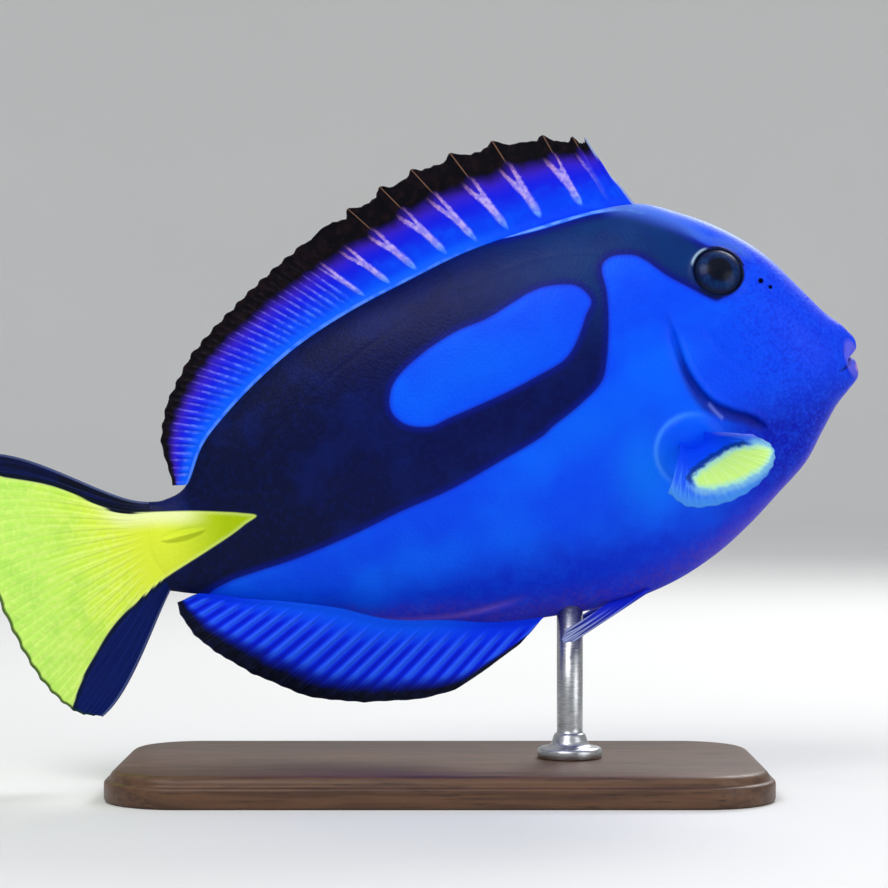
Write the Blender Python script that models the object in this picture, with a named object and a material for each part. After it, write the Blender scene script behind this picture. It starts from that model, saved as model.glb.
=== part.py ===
"""Regal blue tang, an adult of life size, swimming nose up, held by a plain display stand.

The fish is modelled in a frame of its own, in metres: back is the distance behind the tip of the
snout along the body's axis, side is to the fish's left, and up is its own up. Blender's local x is
-back. An empty then tips that frame nose up and lifts it over the stand, whose underside is z = 0.
The body is one lofted skin, parted by thin walls into head, trunk and tail stem. Each fin is a
thin sheet whose rays are ridges raised in the sheet itself, rooted on the skin that carries it.
"""

import math

import bmesh
import bpy
import numpy as np
from mathutils import Matrix, Vector
from mathutils.bvhtree import BVHTree

# Pose of the fish over the stand
NOSE_UP = math.radians(15.0)
SNOUT_X = 0.1087
SNOUT_Z = 0.1121
GAP = 0.0003

# Skin: one row a station, from the throat to the root of the tail fin, in metres.
# Top back and up, low back and up, half width, setback of the sides, sharpness of the keels.
# The first six make the mouth: its throat, the lips' inner edges, their crests and their backs.
STATIONS = (
    (0.0036, 0.0014, 0.0036, 0.0008, 0.0022, 0.0022, 1.0),
    (0.0016, 0.0017, 0.0017, 0.0012, 0.0034, 0.0030, 1.0),
    (-0.0008, 0.0026, 0.0002, 0.0003, 0.0040, 0.0035, 0.9),
    (-0.0014, 0.0046, -0.0002, -0.0023, 0.0046, 0.0036, 0.9),
    (-0.0010, 0.0063, 0.0004, -0.0043, 0.0048, 0.0034, 0.9),
    (-0.0002, 0.0077, 0.0014, -0.0054, 0.0047, 0.0029, 0.95),
    (0.0014, 0.0103, 0.0037, -0.0071, 0.0060, 0.0020, 1.0),
    (0.0048, 0.0146, 0.0080, -0.0104, 0.0080, 0.0010, 1.1),
    (0.0095, 0.0227, 0.0130, -0.0157, 0.0101, 0.0003, 1.2),
    (0.0160, 0.0332, 0.0195, -0.0226, 0.0122, 0.0000, 1.25),
    (0.0245, 0.0420, 0.0280, -0.0282, 0.0139, 0.0000, 1.25),
    (0.0345, 0.0492, 0.0380, -0.0345, 0.0151, 0.0000, 1.25),
    (0.0450, 0.0545, 0.0490, -0.0400, 0.0159, 0.0000, 1.25),
    (0.0600, 0.0558, 0.0620, -0.0440, 0.0163, 0.0000, 1.25),
    (0.0760, 0.0552, 0.0770, -0.0456, 0.0161, 0.0000, 1.25),
    (0.0920, 0.0538, 0.0920, -0.0445, 0.0152, 0.0000, 1.25),
    (0.1080, 0.0506, 0.1075, -0.0424, 0.0137, 0.0000, 1.25),
    (0.1240, 0.0470, 0.1210, -0.0384, 0.0118, 0.0000, 1.25),
    (0.1390, 0.0422, 0.1350, -0.0346, 0.0098, 0.0000, 1.25),
    (0.1520, 0.0360, 0.1480, -0.0279, 0.0080, 0.0000, 1.2),
    (0.1630, 0.0293, 0.1600, -0.0230, 0.0066, 0.0000, 1.15),
    (0.1710, 0.0230, 0.1695, -0.0197, 0.0056, 0.0000, 1.1),
    (0.1780, 0.0136, 0.1770, -0.0166, 0.0049, 0.0000, 1.05),
    (0.1845, 0.0115, 0.1845, -0.0139, 0.0042, 0.0000, 1.0),
    (0.1895, 0.0121, 0.1895, -0.0119, 0.0032, 0.0000, 1.0),
    (0.1930, 0.0112, 0.1930, -0.0110, 0.0016, 0.0000, 1.0),
)
# The sides of a ring that are set back also hang this share of the setback lower
SIDE_DROOP = 0.45
RING_SPACING = 0.0052
RING_POINTS = 32
# A ray towards the flank starts this far out
OUTSIDE = 0.040

# Thin walls that part the skin, as the side view shows them: back and up from top to bottom
GILL_WALL = (
    (0.0436, 0.0640),
    (0.0446, 0.0500),
    (0.0462, 0.0380),
    (0.0462, 0.0290),
    (0.0451, 0.0200),
    (0.0442, 0.0091),
    (0.0410, 0.0009),
    (0.0362, -0.0036),
    (0.0311, -0.0068),
    (0.0275, -0.0116),
    (0.0252, -0.0190),
    (0.0240, -0.0400),
)
STEM_WALL = ((0.1712, 0.0400), (0.1700, 0.0200), (0.1690, 0.0000), (0.1690, -0.0300))
WALL_STEPS = 3
WALL_SIDE = 0.030

# Relief of the skin: the gill cover stands over the shoulder, and the fin's root lies on a pad
COVER_RISE = 0.0008
COVER_WIDTH = 0.0050
SHOULDER_DROP = 0.0008
SHOULDER_WIDTH = 0.0035
GILL_TOP = 0.0260
GILL_FADE = 0.0100
PAD_BACK = 0.0485
PAD_UP = -0.0116
PAD_RADIUS = 0.0099
PAD_EDGE = 0.0026
PAD_RISE = 0.0009
# The relief dies away towards the keels, where the flank narrows
RELIEF_FADE = 2.5

# Eyes
EYE_BACK = 0.0298
EYE_UP = 0.0313
EYE_RADIUS = 0.0070
EYE_HALF_DEPTH = 0.0039
EYE_SINK = 0.0019
EYE_SEGMENTS = 20
EYE_RINGS = 12
ORBIT_RADIUS = 0.0068
ORBIT_THICK = 0.0008
ORBIT_FLATNESS = 0.7
ORBIT_SEGMENTS = 26
ORBIT_SECTION = 6

# Nostrils, in front of the eye: back, up and radius of each pit
NOSTRILS = ((0.0196, 0.0262, 0.0008), (0.0176, 0.0240, 0.0006))
NOSTRIL_DEPTH = 1.6
NOSTRIL_SEGMENTS = 10
NOSTRIL_RINGS = 6

# Scalpel: the blade folded on each side of the tail stem, point forward
SCALPEL_ROOT = 0.1866
SCALPEL_POINT = 0.1752
SCALPEL_UP = 0.0012
SCALPEL_TALL = 0.0022
SCALPEL_PROUD = 0.0011
SCALPEL_SUNK = 0.0015
SCALPEL_SECTIONS = 7
# The blade is fullest near its middle: the part of a sine arch that it follows, and its fullness
SCALPEL_ARCH_START = 0.18
SCALPEL_ARCH = 0.76
SCALPEL_FULLNESS = 0.7

# The tail bends a little to the fish's left
BEND_START = 0.095
BEND_LENGTH = 0.138
BEND_SIDE = 0.0050

# Half thickness of the fins: on a ray and on the membrane, at the root and at the edge
RAY_ROOT = 0.00110
RAY_EDGE = 0.00034
WEB_ROOT = 0.00070
WEB_EDGE = 0.00026
THINNING = 0.7
TAIL_THICKER = 1.15
SIDE_THINNER = 0.85
# Rows of points along a ray, and how far from a ray's crest the membrane starts, in ray spacings
FIN_ROWS = (0.0, 0.25, 0.52, 0.78, 1.0)
TAIL_ROWS = (0.0, 0.16, 0.36, 0.58, 0.8, 1.0)
RIDGE = 0.2
# A fin's root is dropped on the skin from this far out
LANDING = 0.012
ROOT_SAMPLES = 300
# How far the membrane falls short of the tips of its rays
DORSAL_NOTCH = 0.0017
ANAL_NOTCH = 0.0005
NOTCH_LENGTH = 0.020
TAIL_WEB = 0.994
SIDE_WEB = 0.985
# Sideways wave of the upright fins' free edge
DORSAL_WAVE = 0.0014
ANAL_WAVE = -0.0014
WAVE_TURNS = 1.5
WAVE_START = 0.6

# Dorsal fin: distance of each spine along the back from the first, and of the first two soft rays
SPINE_PLACES = (0.0002, 0.0026, 0.0062, 0.0133, 0.0245, 0.0335, 0.0421, 0.0506, 0.0595)
FIRST_SOFT_PLACES = (0.0673, 0.0747)
DORSAL_SOFT_RAYS = 18
DORSAL_LAST_PLACE = 0.998
DORSAL_FIRST_STATION = 12.0
DORSAL_LAST_STATION = 22.0
# Place along the fin's root from 0 to 1, angle of the ray over the axis in degrees, and its length
DORSAL_RAYS = (
    (0.00, 64.0, 0.0064),
    (0.018, 74.0, 0.0205),
    (0.043, 76.0, 0.0210),
    (0.092, 76.5, 0.0231),
    (0.169, 73.0, 0.0257),
    (0.231, 68.0, 0.0268),
    (0.290, 62.5, 0.0270),
    (0.349, 60.0, 0.0263),
    (0.411, 56.5, 0.0254),
    (0.55, 49.0, 0.0224),
    (0.66, 42.0, 0.0202),
    (0.76, 34.0, 0.0192),
    (0.85, 26.0, 0.0158),
    (0.92, 19.0, 0.0110),
    (1.00, 12.0, 0.0034),
)

# Anal fin
ANAL_FIRST_STATION = 15.28
ANAL_LAST_STATION = 22.70
ANAL_RAY_COUNT = 22
ANAL_RAYS = (
    (0.00, 33.0, 0.0090),
    (0.035, 33.0, 0.0170),
    (0.075, 33.0, 0.0240),
    (0.16, 33.0, 0.0268),
    (0.29, 31.0, 0.0298),
    (0.45, 28.0, 0.0293),
    (0.61, 25.0, 0.0272),
    (0.75, 22.0, 0.0221),
    (0.86, 19.0, 0.0165),
    (0.95, 14.0, 0.0105),
    (1.00, 8.0, 0.0058),
)

# Tail fin: both margins as Bezier curves, and the trailing edge from the upper tip to the lower
TAIL_UPPER = ((0.1890, 0.0122), (0.1990, 0.0143), (0.2122, 0.0314), (0.2264, 0.0354))
TAIL_LOWER = ((0.1890, -0.0118), (0.1968, -0.0200), (0.2062, -0.0355), (0.2152, -0.0394))
TAIL_TRAILING = (
    (0.2264, 0.0354),
    (0.2318, 0.0200),
    (0.2342, 0.0020),
    (0.2320, -0.0142),
    (0.2280, -0.0272),
    (0.2220, -0.0362),
    (0.2152, -0.0394),
)
TAIL_RAY_COUNT = 18

# Pectoral fins: curved root and free edge on the flank, seen from the side, front ray first
PECTORAL_ROOT = (
    (0.0440, -0.0078),
    (0.0450, -0.0104),
    (0.0474, -0.0116),
    (0.0499, -0.0109),
    (0.0512, -0.0089),
)
PECTORAL_EDGE = (
    (0.0357, -0.0108),
    (0.0322, -0.0146),
    (0.0328, -0.0188),
    (0.0378, -0.0230),
    (0.0460, -0.0254),
    (0.0548, -0.0244),
    (0.0588, -0.0198),
)
# How far each part of the free edge stands out from the flank, front ray first
PECTORAL_REACH = (0.0258, 0.0300, 0.0310, 0.0300, 0.0270, 0.0220, 0.0170)
PECTORAL_RAY_COUNT = 15
PECTORAL_CURL = 1.2

# Pelvic fins: root and free edge of the folded fin, seen from the side
PELVIC_ROOT = ((0.0668, -0.0436), (0.0725, -0.0446), (0.0785, -0.0448))
PELVIC_EDGE = ((0.0906, -0.0516), (0.0935, -0.0507), (0.0915, -0.0478))
PELVIC_ROOT_SIDE = 0.0032
PELVIC_REACH = 0.0052
PELVIC_RAY_COUNT = 4
PELVIC_CURL = 1.0

# Stand
BASE_LENGTH = 0.170
BASE_WIDTH = 0.086
BASE_HEIGHT = 0.008
BASE_CORNER = 0.020
BASE_EDGE = 0.0016
BASE_CORNER_STEPS = 8
ROD_X = 0.0340
ROD_RADIUS = 0.0034
ROD_FOOT_RADIUS = 0.0085
ROD_FOOT_HEIGHT = 0.0030
ROD_FOOT_EDGE = 0.0010
ROD_COLLAR = 0.0012
ROD_COLLAR_RISE = 0.0004
ROD_COLLAR_HEIGHT = 0.0020
ROD_TOP = 0.0700
ROD_SIDES = 24


def spline(keys, where):
    """Catmull-Rom through the rows of keys, where 0 is the first row and 1 the second."""
    keys = np.asarray(keys, float)
    last = len(keys) - 1
    where = min(max(where, 0.0), float(last))
    first = min(int(where), last - 1)
    part = where - first
    p1, p2 = keys[first], keys[first + 1]
    p0 = keys[first - 1] if first > 0 else 2 * p1 - p2
    p3 = keys[first + 2] if first + 2 <= last else 2 * p2 - p1
    bend = 2 * p0 - 5 * p1 + 4 * p2 - p3
    turn = 3 * p1 - p0 - 3 * p2 + p3
    return 0.5 * (2 * p1 + (p2 - p0) * part + bend * part**2 + turn * part**3)


def bezier(points, part):
    """A point of the cubic Bezier curve with these four points."""
    p0, p1, p2, p3 = (np.asarray(p, float) for p in points)
    rest = 1.0 - part
    return rest**3 * p0 + 3 * rest**2 * part * p1 + 3 * rest * part**2 * p2 + part**3 * p3


def ease(low, high, value):
    """0 below low, 1 above high, and smooth between them."""
    part = min(max((value - low) / (high - low), 0.0), 1.0)
    return part * part * (3.0 - 2.0 * part)


def by_place(table, place):
    """Angle and length from a table of rays, between its rows in a straight line."""
    table = np.asarray(table, float)
    return [np.interp(place, table[:, 0], table[:, column]) for column in (1, 2)]


def smooth_line(keys, steps):
    """Points of a spline through the keys, steps to a key."""
    count = (len(keys) - 1) * steps
    return [spline(keys, i / steps) for i in range(count + 1)]


GILL_LINE = smooth_line(GILL_WALL, WALL_STEPS)
STEM_LINE = smooth_line(STEM_WALL, WALL_STEPS)


def behind_gill(back, up):
    """Distance behind the edge of the gill cover, negative on the cover itself."""
    best, sign = 1.0, 1.0
    for a, b in zip(GILL_LINE[:-1], GILL_LINE[1:]):
        edge = b - a
        out = np.array((back, up)) - a
        part = min(max(out @ edge / (edge @ edge), 0.0), 1.0)
        away = np.linalg.norm(out - part * edge)
        if away < best:
            best = away
            sign = 1.0 if edge[0] * out[1] - edge[1] * out[0] > 0 else -1.0
    return sign * best


def relief(back, up):
    """How far the skin stands out beyond the plain loft, sideways."""
    behind = behind_gill(back, up)
    slit = 1.0 - ease(GILL_TOP - GILL_FADE, GILL_TOP, up)
    if behind < 0:
        return slit * COVER_RISE * math.exp(-((behind / COVER_WIDTH) ** 2))
    drop = slit * SHOULDER_DROP * math.exp(-((behind / SHOULDER_WIDTH) ** 2))
    from_pad = math.hypot(back - PAD_BACK, up - PAD_UP)
    pad = PAD_RISE * (1.0 - ease(PAD_RADIUS - PAD_EDGE, PAD_RADIUS, from_pad))
    return pad - drop


def skin_point(station, angle, extra):
    """A point of the skin on a station's ring: angle 90 degrees is the back, -90 the belly."""
    row = spline(STATIONS, station)
    top, low = row[0:2], row[2:4]
    wide, setback, sharp = row[4], row[5], row[6]
    rise, across = math.sin(angle), math.cos(angle)
    centre = (top + low) / 2 + (top - low) / 2 * rise
    back = centre[0] + setback * across**2
    up = centre[1] - SIDE_DROOP * setback * across**2
    out = wide * abs(across) ** sharp
    if abs(across) > 1e-6:
        out += extra(back, up) * min(abs(across) * RELIEF_FADE, 1.0)
        out = math.copysign(out, across)
    else:
        out = 0.0
    return Vector((-back, out, up))


def station_steps():
    """Stations for the rings, no further apart than RING_SPACING on the back or belly."""
    found = [0.0]
    for i in range(len(STATIONS) - 1):
        a, b = np.array(STATIONS[i]), np.array(STATIONS[i + 1])
        length = max(np.linalg.norm(b[0:2] - a[0:2]), np.linalg.norm(b[2:4] - a[2:4]))
        parts = max(1, math.ceil(length / RING_SPACING))
        found += [i + (j + 1) / parts for j in range(parts)]
    return found


def new_object(name, points, faces):
    """A mesh object from points and triangles, its faces turned outwards."""
    mesh = bpy.data.meshes.new(name)
    mesh.from_pydata([tuple(p) for p in points], [], faces)
    work = bmesh.new()
    work.from_mesh(mesh)
    bmesh.ops.recalc_face_normals(work, faces=work.faces)
    work.to_mesh(mesh)
    work.free()
    obj = bpy.data.objects.new(name, mesh)
    bpy.context.scene.collection.objects.link(obj)
    return obj


def two_triangles(a, b, c, d):
    return [(a, b, c), (a, c, d)]


def body(name, extra):
    """The whole skin as one closed mesh."""
    points, faces = [], []
    steps = station_steps()
    for station in steps:
        for i in range(RING_POINTS):
            angle = -math.pi / 2 + 2 * math.pi * i / RING_POINTS
            points.append(skin_point(station, angle, extra))
    for ring in range(len(steps) - 1):
        for i in range(RING_POINTS):
            a = ring * RING_POINTS + i
            b = ring * RING_POINTS + (i + 1) % RING_POINTS
            half = i < RING_POINTS // 2
            corners = (a, b, b + RING_POINTS, a + RING_POINTS)
            turned = (b, b + RING_POINTS, a + RING_POINTS, a)
            faces += two_triangles(*(corners if half else turned))
    for ring in (0, len(steps) - 1):
        first = ring * RING_POINTS
        middle = sum((points[first + i] for i in range(RING_POINTS)), Vector()) / RING_POINTS
        points.append(middle)
        for i in range(RING_POINTS):
            faces.append((first + i, first + (i + 1) % RING_POINTS, len(points) - 1))
    return new_object(name, points, faces)


def wall(name, line, shift, back_end):
    """A block that fills everything on one side of a wall line, from top to bottom."""
    side = [(p[0] + shift, p[1]) for p in line]
    outline = side + [(back_end, side[-1][1]), (back_end, side[0][1])]
    count = len(outline)
    points = [Vector((-b, y, u)) for y in (-WALL_SIDE, WALL_SIDE) for b, u in outline]
    work = bmesh.new()
    verts = [work.verts.new(p) for p in points]
    work.faces.new(verts[:count])
    work.faces.new(verts[count:])
    for i in range(count):
        j = (i + 1) % count
        work.faces.new((verts[i], verts[j], verts[count + j], verts[count + i]))
    bmesh.ops.recalc_face_normals(work, faces=work.faces)
    mesh = bpy.data.meshes.new(name)
    work.to_mesh(mesh)
    work.free()
    obj = bpy.data.objects.new(name, mesh)
    bpy.context.scene.collection.objects.link(obj)
    return obj


def combine(target, other, operation, solver="EXACT"):
    """Applies one Boolean to the target and removes the other object."""
    modifier = target.modifiers.new(operation, "BOOLEAN")
    modifier.operation = operation
    modifier.solver = solver
    modifier.object = other
    bpy.context.view_layer.update()
    graph = bpy.context.evaluated_depsgraph_get()
    made = bpy.data.meshes.new_from_object(target.evaluated_get(graph))
    target.modifiers.clear()
    target.data = made
    bpy.data.objects.remove(other)
    keep_largest(made)


def keep_largest(mesh):
    """Drops all but the closed surface with the most faces."""
    work = bmesh.new()
    work.from_mesh(mesh)
    bmesh.ops.triangulate(work, faces=work.faces)
    left = set(work.faces)
    largest = set()
    while left:
        found, edge = set(), {left.pop()}
        while edge:
            face = edge.pop()
            found.add(face)
            near = {f for e in face.edges for f in e.link_faces}
            fresh = near & left
            left -= fresh
            edge |= fresh
        if len(found) > len(largest):
            largest = found
    stray = [f for f in work.faces if f not in largest]
    bmesh.ops.delete(work, geom=stray, context="FACES")
    work.to_mesh(mesh)
    work.free()


def land(skin, point, inward):
    """Where a line from the point meets the skin, a gap short of it, or the point with no skin."""
    if skin is None:
        return Vector(point)
    away = Vector(point) - Vector(inward) * LANDING
    hit, normal, _, _ = skin.ray_cast(away, Vector(inward))
    return hit + normal * GAP


def sheet(name, centres, halves, skin):
    """A fin: columns of points along its rays, given a half thickness each and rooted on the skin."""
    columns, rows = len(centres), len(centres[0])
    grid = np.array([[tuple(p) for p in column] for column in centres])
    along = np.gradient(grid, axis=1)
    across = np.gradient(grid, axis=0)
    normals = np.cross(across, along)
    normals /= np.linalg.norm(normals, axis=2, keepdims=True)
    near = grid + normals * np.array(halves)[:, :, None]
    far = grid - normals * np.array(halves)[:, :, None]
    points, roots = [], []
    for i in range(columns):
        inward = Vector(grid[i, 0] - grid[i, 1]).normalized()
        for face in (near, far):
            landed = land(skin, face[i, 0], inward)
            points.append(landed)
            points += [Vector(face[i, j]) for j in range(1, rows)]
        roots.append(land(skin, grid[i, 0], inward))
    first_root = len(points)
    points += roots

    def at(i, j, face):
        return (2 * i + face) * rows + j

    faces = []
    for i in range(columns - 1):
        for j in range(rows - 1):
            for face in (0, 1):
                a, b = at(i, j, face), at(i + 1, j, face)
                c, d = at(i + 1, j + 1, face), at(i, j + 1, face)
                faces += two_triangles(a, b, c, d)
        tip = rows - 1
        faces += two_triangles(at(i, tip, 0), at(i + 1, tip, 0), at(i + 1, tip, 1), at(i, tip, 1))
        for face in (0, 1):
            root, after = first_root + i, first_root + i + 1
            faces += two_triangles(at(i, 0, face), at(i + 1, 0, face), after, root)
    for i in (0, columns - 1):
        for j in range(1, rows - 1):
            faces += two_triangles(at(i, j, 0), at(i, j + 1, 0), at(i, j + 1, 1), at(i, j, 1))
        root = first_root + i
        faces.append((root, at(i, 0, 0), at(i, 1, 0)))
        faces.append((root, at(i, 1, 0), at(i, 1, 1)))
        faces.append((root, at(i, 1, 1), at(i, 0, 1)))
    return new_object(name, points, faces)


def ray_columns(count, valleys):
    """Where the columns of a fin lie, in rays from the first, and whether each is a crest."""
    found = []
    for ray in range(count):
        feet = [(ray - RIDGE, False), (ray, True), (ray + RIDGE, False)]
        found += feet if not valleys else [(ray, True), (ray + 0.5, False)]
    return [c for c in found if 0 <= c[0] <= count - 1]


def half_thickness(crest, row):
    ends = (RAY_ROOT, RAY_EDGE) if crest else (WEB_ROOT, WEB_EDGE)
    return ends[0] + (ends[1] - ends[0]) * row**THINNING


def root_curve(first, last, low):
    """Points along the back or belly between two stations, and how far along each lies."""
    span = (last - first) / ROOT_SAMPLES
    keys = [spline(STATIONS, first + span * i) for i in range(ROOT_SAMPLES + 1)]
    line = np.array([k[2:4] if low else k[0:2] for k in keys])
    steps = np.linalg.norm(np.diff(line, axis=0), axis=1)
    return line, np.concatenate(([0.0], np.cumsum(steps)))


def median_fin(name, places, table, first, last, low, notch, wave, skin):
    """The dorsal or anal fin, upright in the middle of the body."""
    line, lengths = root_curve(first, last, low)
    total = lengths[-1]
    centres, halves = [], []
    for where, crest in ray_columns(len(places), valleys=False):
        place = np.interp(where, range(len(places)), places)
        root = np.array([np.interp(place * total, lengths, line[:, k]) for k in (0, 1)])
        angle, length = by_place(table, place)
        turn = math.radians(-angle if low else angle)
        heading = np.array((math.cos(turn), math.sin(turn)))
        if not crest:
            length -= notch * min(1.0, length / NOTCH_LENGTH)
        column = []
        for row in FIN_ROWS:
            back, up = root + heading * length * row
            side = wave * row**2 * math.sin(2 * math.pi * place * WAVE_TURNS + WAVE_START)
            column.append((-back, side, up))
        centres.append(column)
        halves.append([half_thickness(crest, row) for row in FIN_ROWS])
    return sheet(name, centres, halves, skin)


def dorsal_places():
    """Where the spines and soft rays root, from 0 to 1 along the fin."""
    total = root_curve(DORSAL_FIRST_STATION, DORSAL_LAST_STATION, False)[1][-1]
    last = FIRST_SOFT_PLACES[-1] / total
    step = (DORSAL_LAST_PLACE - last) / DORSAL_SOFT_RAYS
    soft = [last + step * (i + 1) for i in range(DORSAL_SOFT_RAYS)]
    return [p / total for p in SPINE_PLACES + FIRST_SOFT_PLACES] + soft


def tail_fin(name, flesh):
    """The tail fin: rays fan out between two curved margins to a rounded trailing edge.

    It starts inside the tail stem, and the swollen flesh then cuts it clear."""
    last = TAIL_RAY_COUNT - 1
    centres, halves = [], []
    for where, crest in ray_columns(TAIL_RAY_COUNT, valleys=False):
        part = where / last
        edge = spline(TAIL_TRAILING, part * (len(TAIL_TRAILING) - 1))
        chord = (1 - part) * bezier(TAIL_UPPER, 1.0) + part * bezier(TAIL_LOWER, 1.0)
        column = []
        for row in TAIL_ROWS:
            along = row if crest else row * TAIL_WEB
            point = (1 - part) * bezier(TAIL_UPPER, along) + part * bezier(TAIL_LOWER, along)
            point = point + (edge - chord) * along**2
            column.append((-point[0], 0.0, point[1]))
        centres.append(column)
        halves.append([half_thickness(crest, row) * TAIL_THICKER for row in TAIL_ROWS])
    fin = sheet(name, centres, halves, None)
    combine(fin, flesh, "DIFFERENCE")


def side_fin(name, side, root, edge, reach, count, curl, skin, valleys, root_side=None):
    """A paired fin: rays fan from a short root line on the flank to a free edge.

    valleys gives each membrane one column in its middle in place of two at its rays' feet."""
    last = count - 1
    centres, halves = [], []
    for where, crest in ray_columns(count, valleys):
        part = where / last
        start = spline(root, part * (len(root) - 1))
        end = spline(edge, part * (len(edge) - 1))
        far = spline(reach, part * (len(reach) - 1))[0]
        if root_side is None:
            origin = Vector((-start[0], side * OUTSIDE, start[1]))
            hit = skin.ray_cast(origin, Vector((0.0, -side, 0.0)))[0]
            start_side = abs(hit.y)
        else:
            start_side = root_side
        column = []
        for row in FIN_ROWS:
            along = row if crest else row * SIDE_WEB
            flat = start + (end - start) * along**curl
            out = start_side + far * math.sin(along * math.pi / 2) ** (1 / curl)
            column.append((-flat[0], side * out, flat[1]))
        centres.append(column)
        halves.append([half_thickness(crest, row) * SIDE_THINNER for row in FIN_ROWS])
    return sheet(name, centres, halves, skin)


def flank_frame(skin, side, back, up, sink):
    """A frame on the flank, its z square to the skin there, sunk below the skin."""
    origin = Vector((-back, side * OUTSIDE, up))
    hit, normal, _, _ = skin.ray_cast(origin, Vector((0.0, -side, 0.0)))
    turn = normal.to_track_quat("Z", "Y").to_matrix().to_4x4()
    return Matrix.Translation(hit - normal * sink) @ turn


def ball(name, matrix, radius, half_depth, segments, rings):
    """A flattened ball, its short axis along the matrix's z."""
    work = bmesh.new()
    bmesh.ops.create_uvsphere(work, u_segments=segments, v_segments=rings, radius=1.0)
    shape = Matrix.Diagonal((radius, radius, half_depth, 1.0))
    bmesh.ops.transform(work, matrix=matrix @ shape, verts=work.verts)
    bmesh.ops.triangulate(work, faces=work.faces)
    mesh = bpy.data.meshes.new(name)
    work.to_mesh(mesh)
    work.free()
    obj = bpy.data.objects.new(name, mesh)
    bpy.context.scene.collection.objects.link(obj)
    return obj


def orbit_ring(name, matrix):
    """The rim of skin round an eye."""
    around, section = ORBIT_SEGMENTS, ORBIT_SECTION
    points = []
    for i in range(around):
        turn = 2 * math.pi * i / around
        for j in range(section):
            roll = 2 * math.pi * j / section
            radius = ORBIT_RADIUS + ORBIT_THICK * math.cos(roll)
            lift = EYE_SINK + ORBIT_THICK * ORBIT_FLATNESS * math.sin(roll)
            point = Vector((radius * math.cos(turn), radius * math.sin(turn), lift))
            points.append(matrix @ point)
    faces = []
    for i in range(around):
        for j in range(section):
            k = (j + 1) % section
            a, b = i * section + j, i * section + k
            c, d = (i + 1) % around * section + k, (i + 1) % around * section + j
            faces += two_triangles(a, b, c, d)
    return new_object(name, points, faces)


def add_eyes(head, skin):
    """Both eyes, each in a socket with a rim."""
    for side, label in ((1, "left"), (-1, "right")):
        matrix = flank_frame(skin, side, EYE_BACK, EYE_UP, EYE_SINK)
        combine(head, orbit_ring("rim", matrix), "UNION")
        wide, deep = EYE_RADIUS + GAP, EYE_HALF_DEPTH + GAP
        socket = ball("socket", matrix, wide, deep, EYE_SEGMENTS, EYE_RINGS)
        combine(head, socket, "DIFFERENCE")
        ball(f"eye_{label}", matrix, EYE_RADIUS, EYE_HALF_DEPTH, EYE_SEGMENTS, EYE_RINGS)


def add_nostrils(head, skin):
    for side in (1, -1):
        for back, up, radius in NOSTRILS:
            matrix = flank_frame(skin, side, back, up, 0.0)
            deep = radius * NOSTRIL_DEPTH
            pit = ball("pit", matrix, radius, deep, NOSTRIL_SEGMENTS, NOSTRIL_RINGS)
            combine(head, pit, "DIFFERENCE", solver="MANIFOLD")


def add_scalpels(stem, skin):
    """A blade raised on each side of the tail stem, tapering to a point in front."""
    sections = SCALPEL_SECTIONS
    for side in (1, -1):
        points, faces = [], []
        for i in range(sections):
            part = i / (sections - 1)
            back = SCALPEL_ROOT + (SCALPEL_POINT - SCALPEL_ROOT) * part
            hit = skin.ray_cast(
                Vector((-back, side * OUTSIDE, SCALPEL_UP)), Vector((0.0, -side, 0.0))
            )[0]
            arch = math.sin(math.pi * (SCALPEL_ARCH_START + SCALPEL_ARCH * part))
            size = arch**SCALPEL_FULLNESS
            tall = SCALPEL_TALL / 2 * size
            proud = SCALPEL_PROUD * size
            for up, out in ((tall, 0.0), (0.0, proud), (-tall, 0.0), (0.0, -SCALPEL_SUNK)):
                points.append(Vector((-back, hit.y + side * out, SCALPEL_UP + up)))
        for i in range(sections - 1):
            for j in range(4):
                a, b = 4 * i + j, 4 * i + (j + 1) % 4
                faces += two_triangles(a, b, b + 4, a + 4)
        faces += two_triangles(0, 1, 2, 3)
        end = 4 * (sections - 1)
        faces += two_triangles(end, end + 1, end + 2, end + 3)
        combine(stem, new_object("blade", points, faces), "UNION")


def make_body_nodes():
    """Head, trunk and tail stem, parted by thin walls. Returns the plain skin for what roots on it."""
    whole = body("whole", relief)
    points = [v.co.copy() for v in whole.data.vertices]
    faces = [tuple(p.vertices) for p in whole.data.polygons]
    skin = BVHTree.FromPolygons(points, faces)
    bpy.data.objects.remove(whole)
    head = body("head", relief)
    combine(head, wall("wall", GILL_LINE, -GAP, 0.30), "DIFFERENCE")
    trunk = body("trunk", relief)
    combine(trunk, wall("wall", GILL_LINE, GAP, -0.05), "DIFFERENCE")
    combine(trunk, wall("wall", STEM_LINE, -GAP, 0.30), "DIFFERENCE")
    stem = body("tail_stem", relief)
    combine(stem, wall("wall", STEM_LINE, GAP, -0.05), "DIFFERENCE")
    add_eyes(head, skin)
    add_nostrils(head, skin)
    add_scalpels(stem, skin)
    return skin


def swollen():
    """The whole skin, grown by the gap, to cut what meets it."""
    flesh = body("flesh", relief)
    grown = [v.co + v.normal * GAP for v in flesh.data.vertices]
    for vertex, spot in zip(flesh.data.vertices, grown):
        vertex.co = spot
    return flesh


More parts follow.
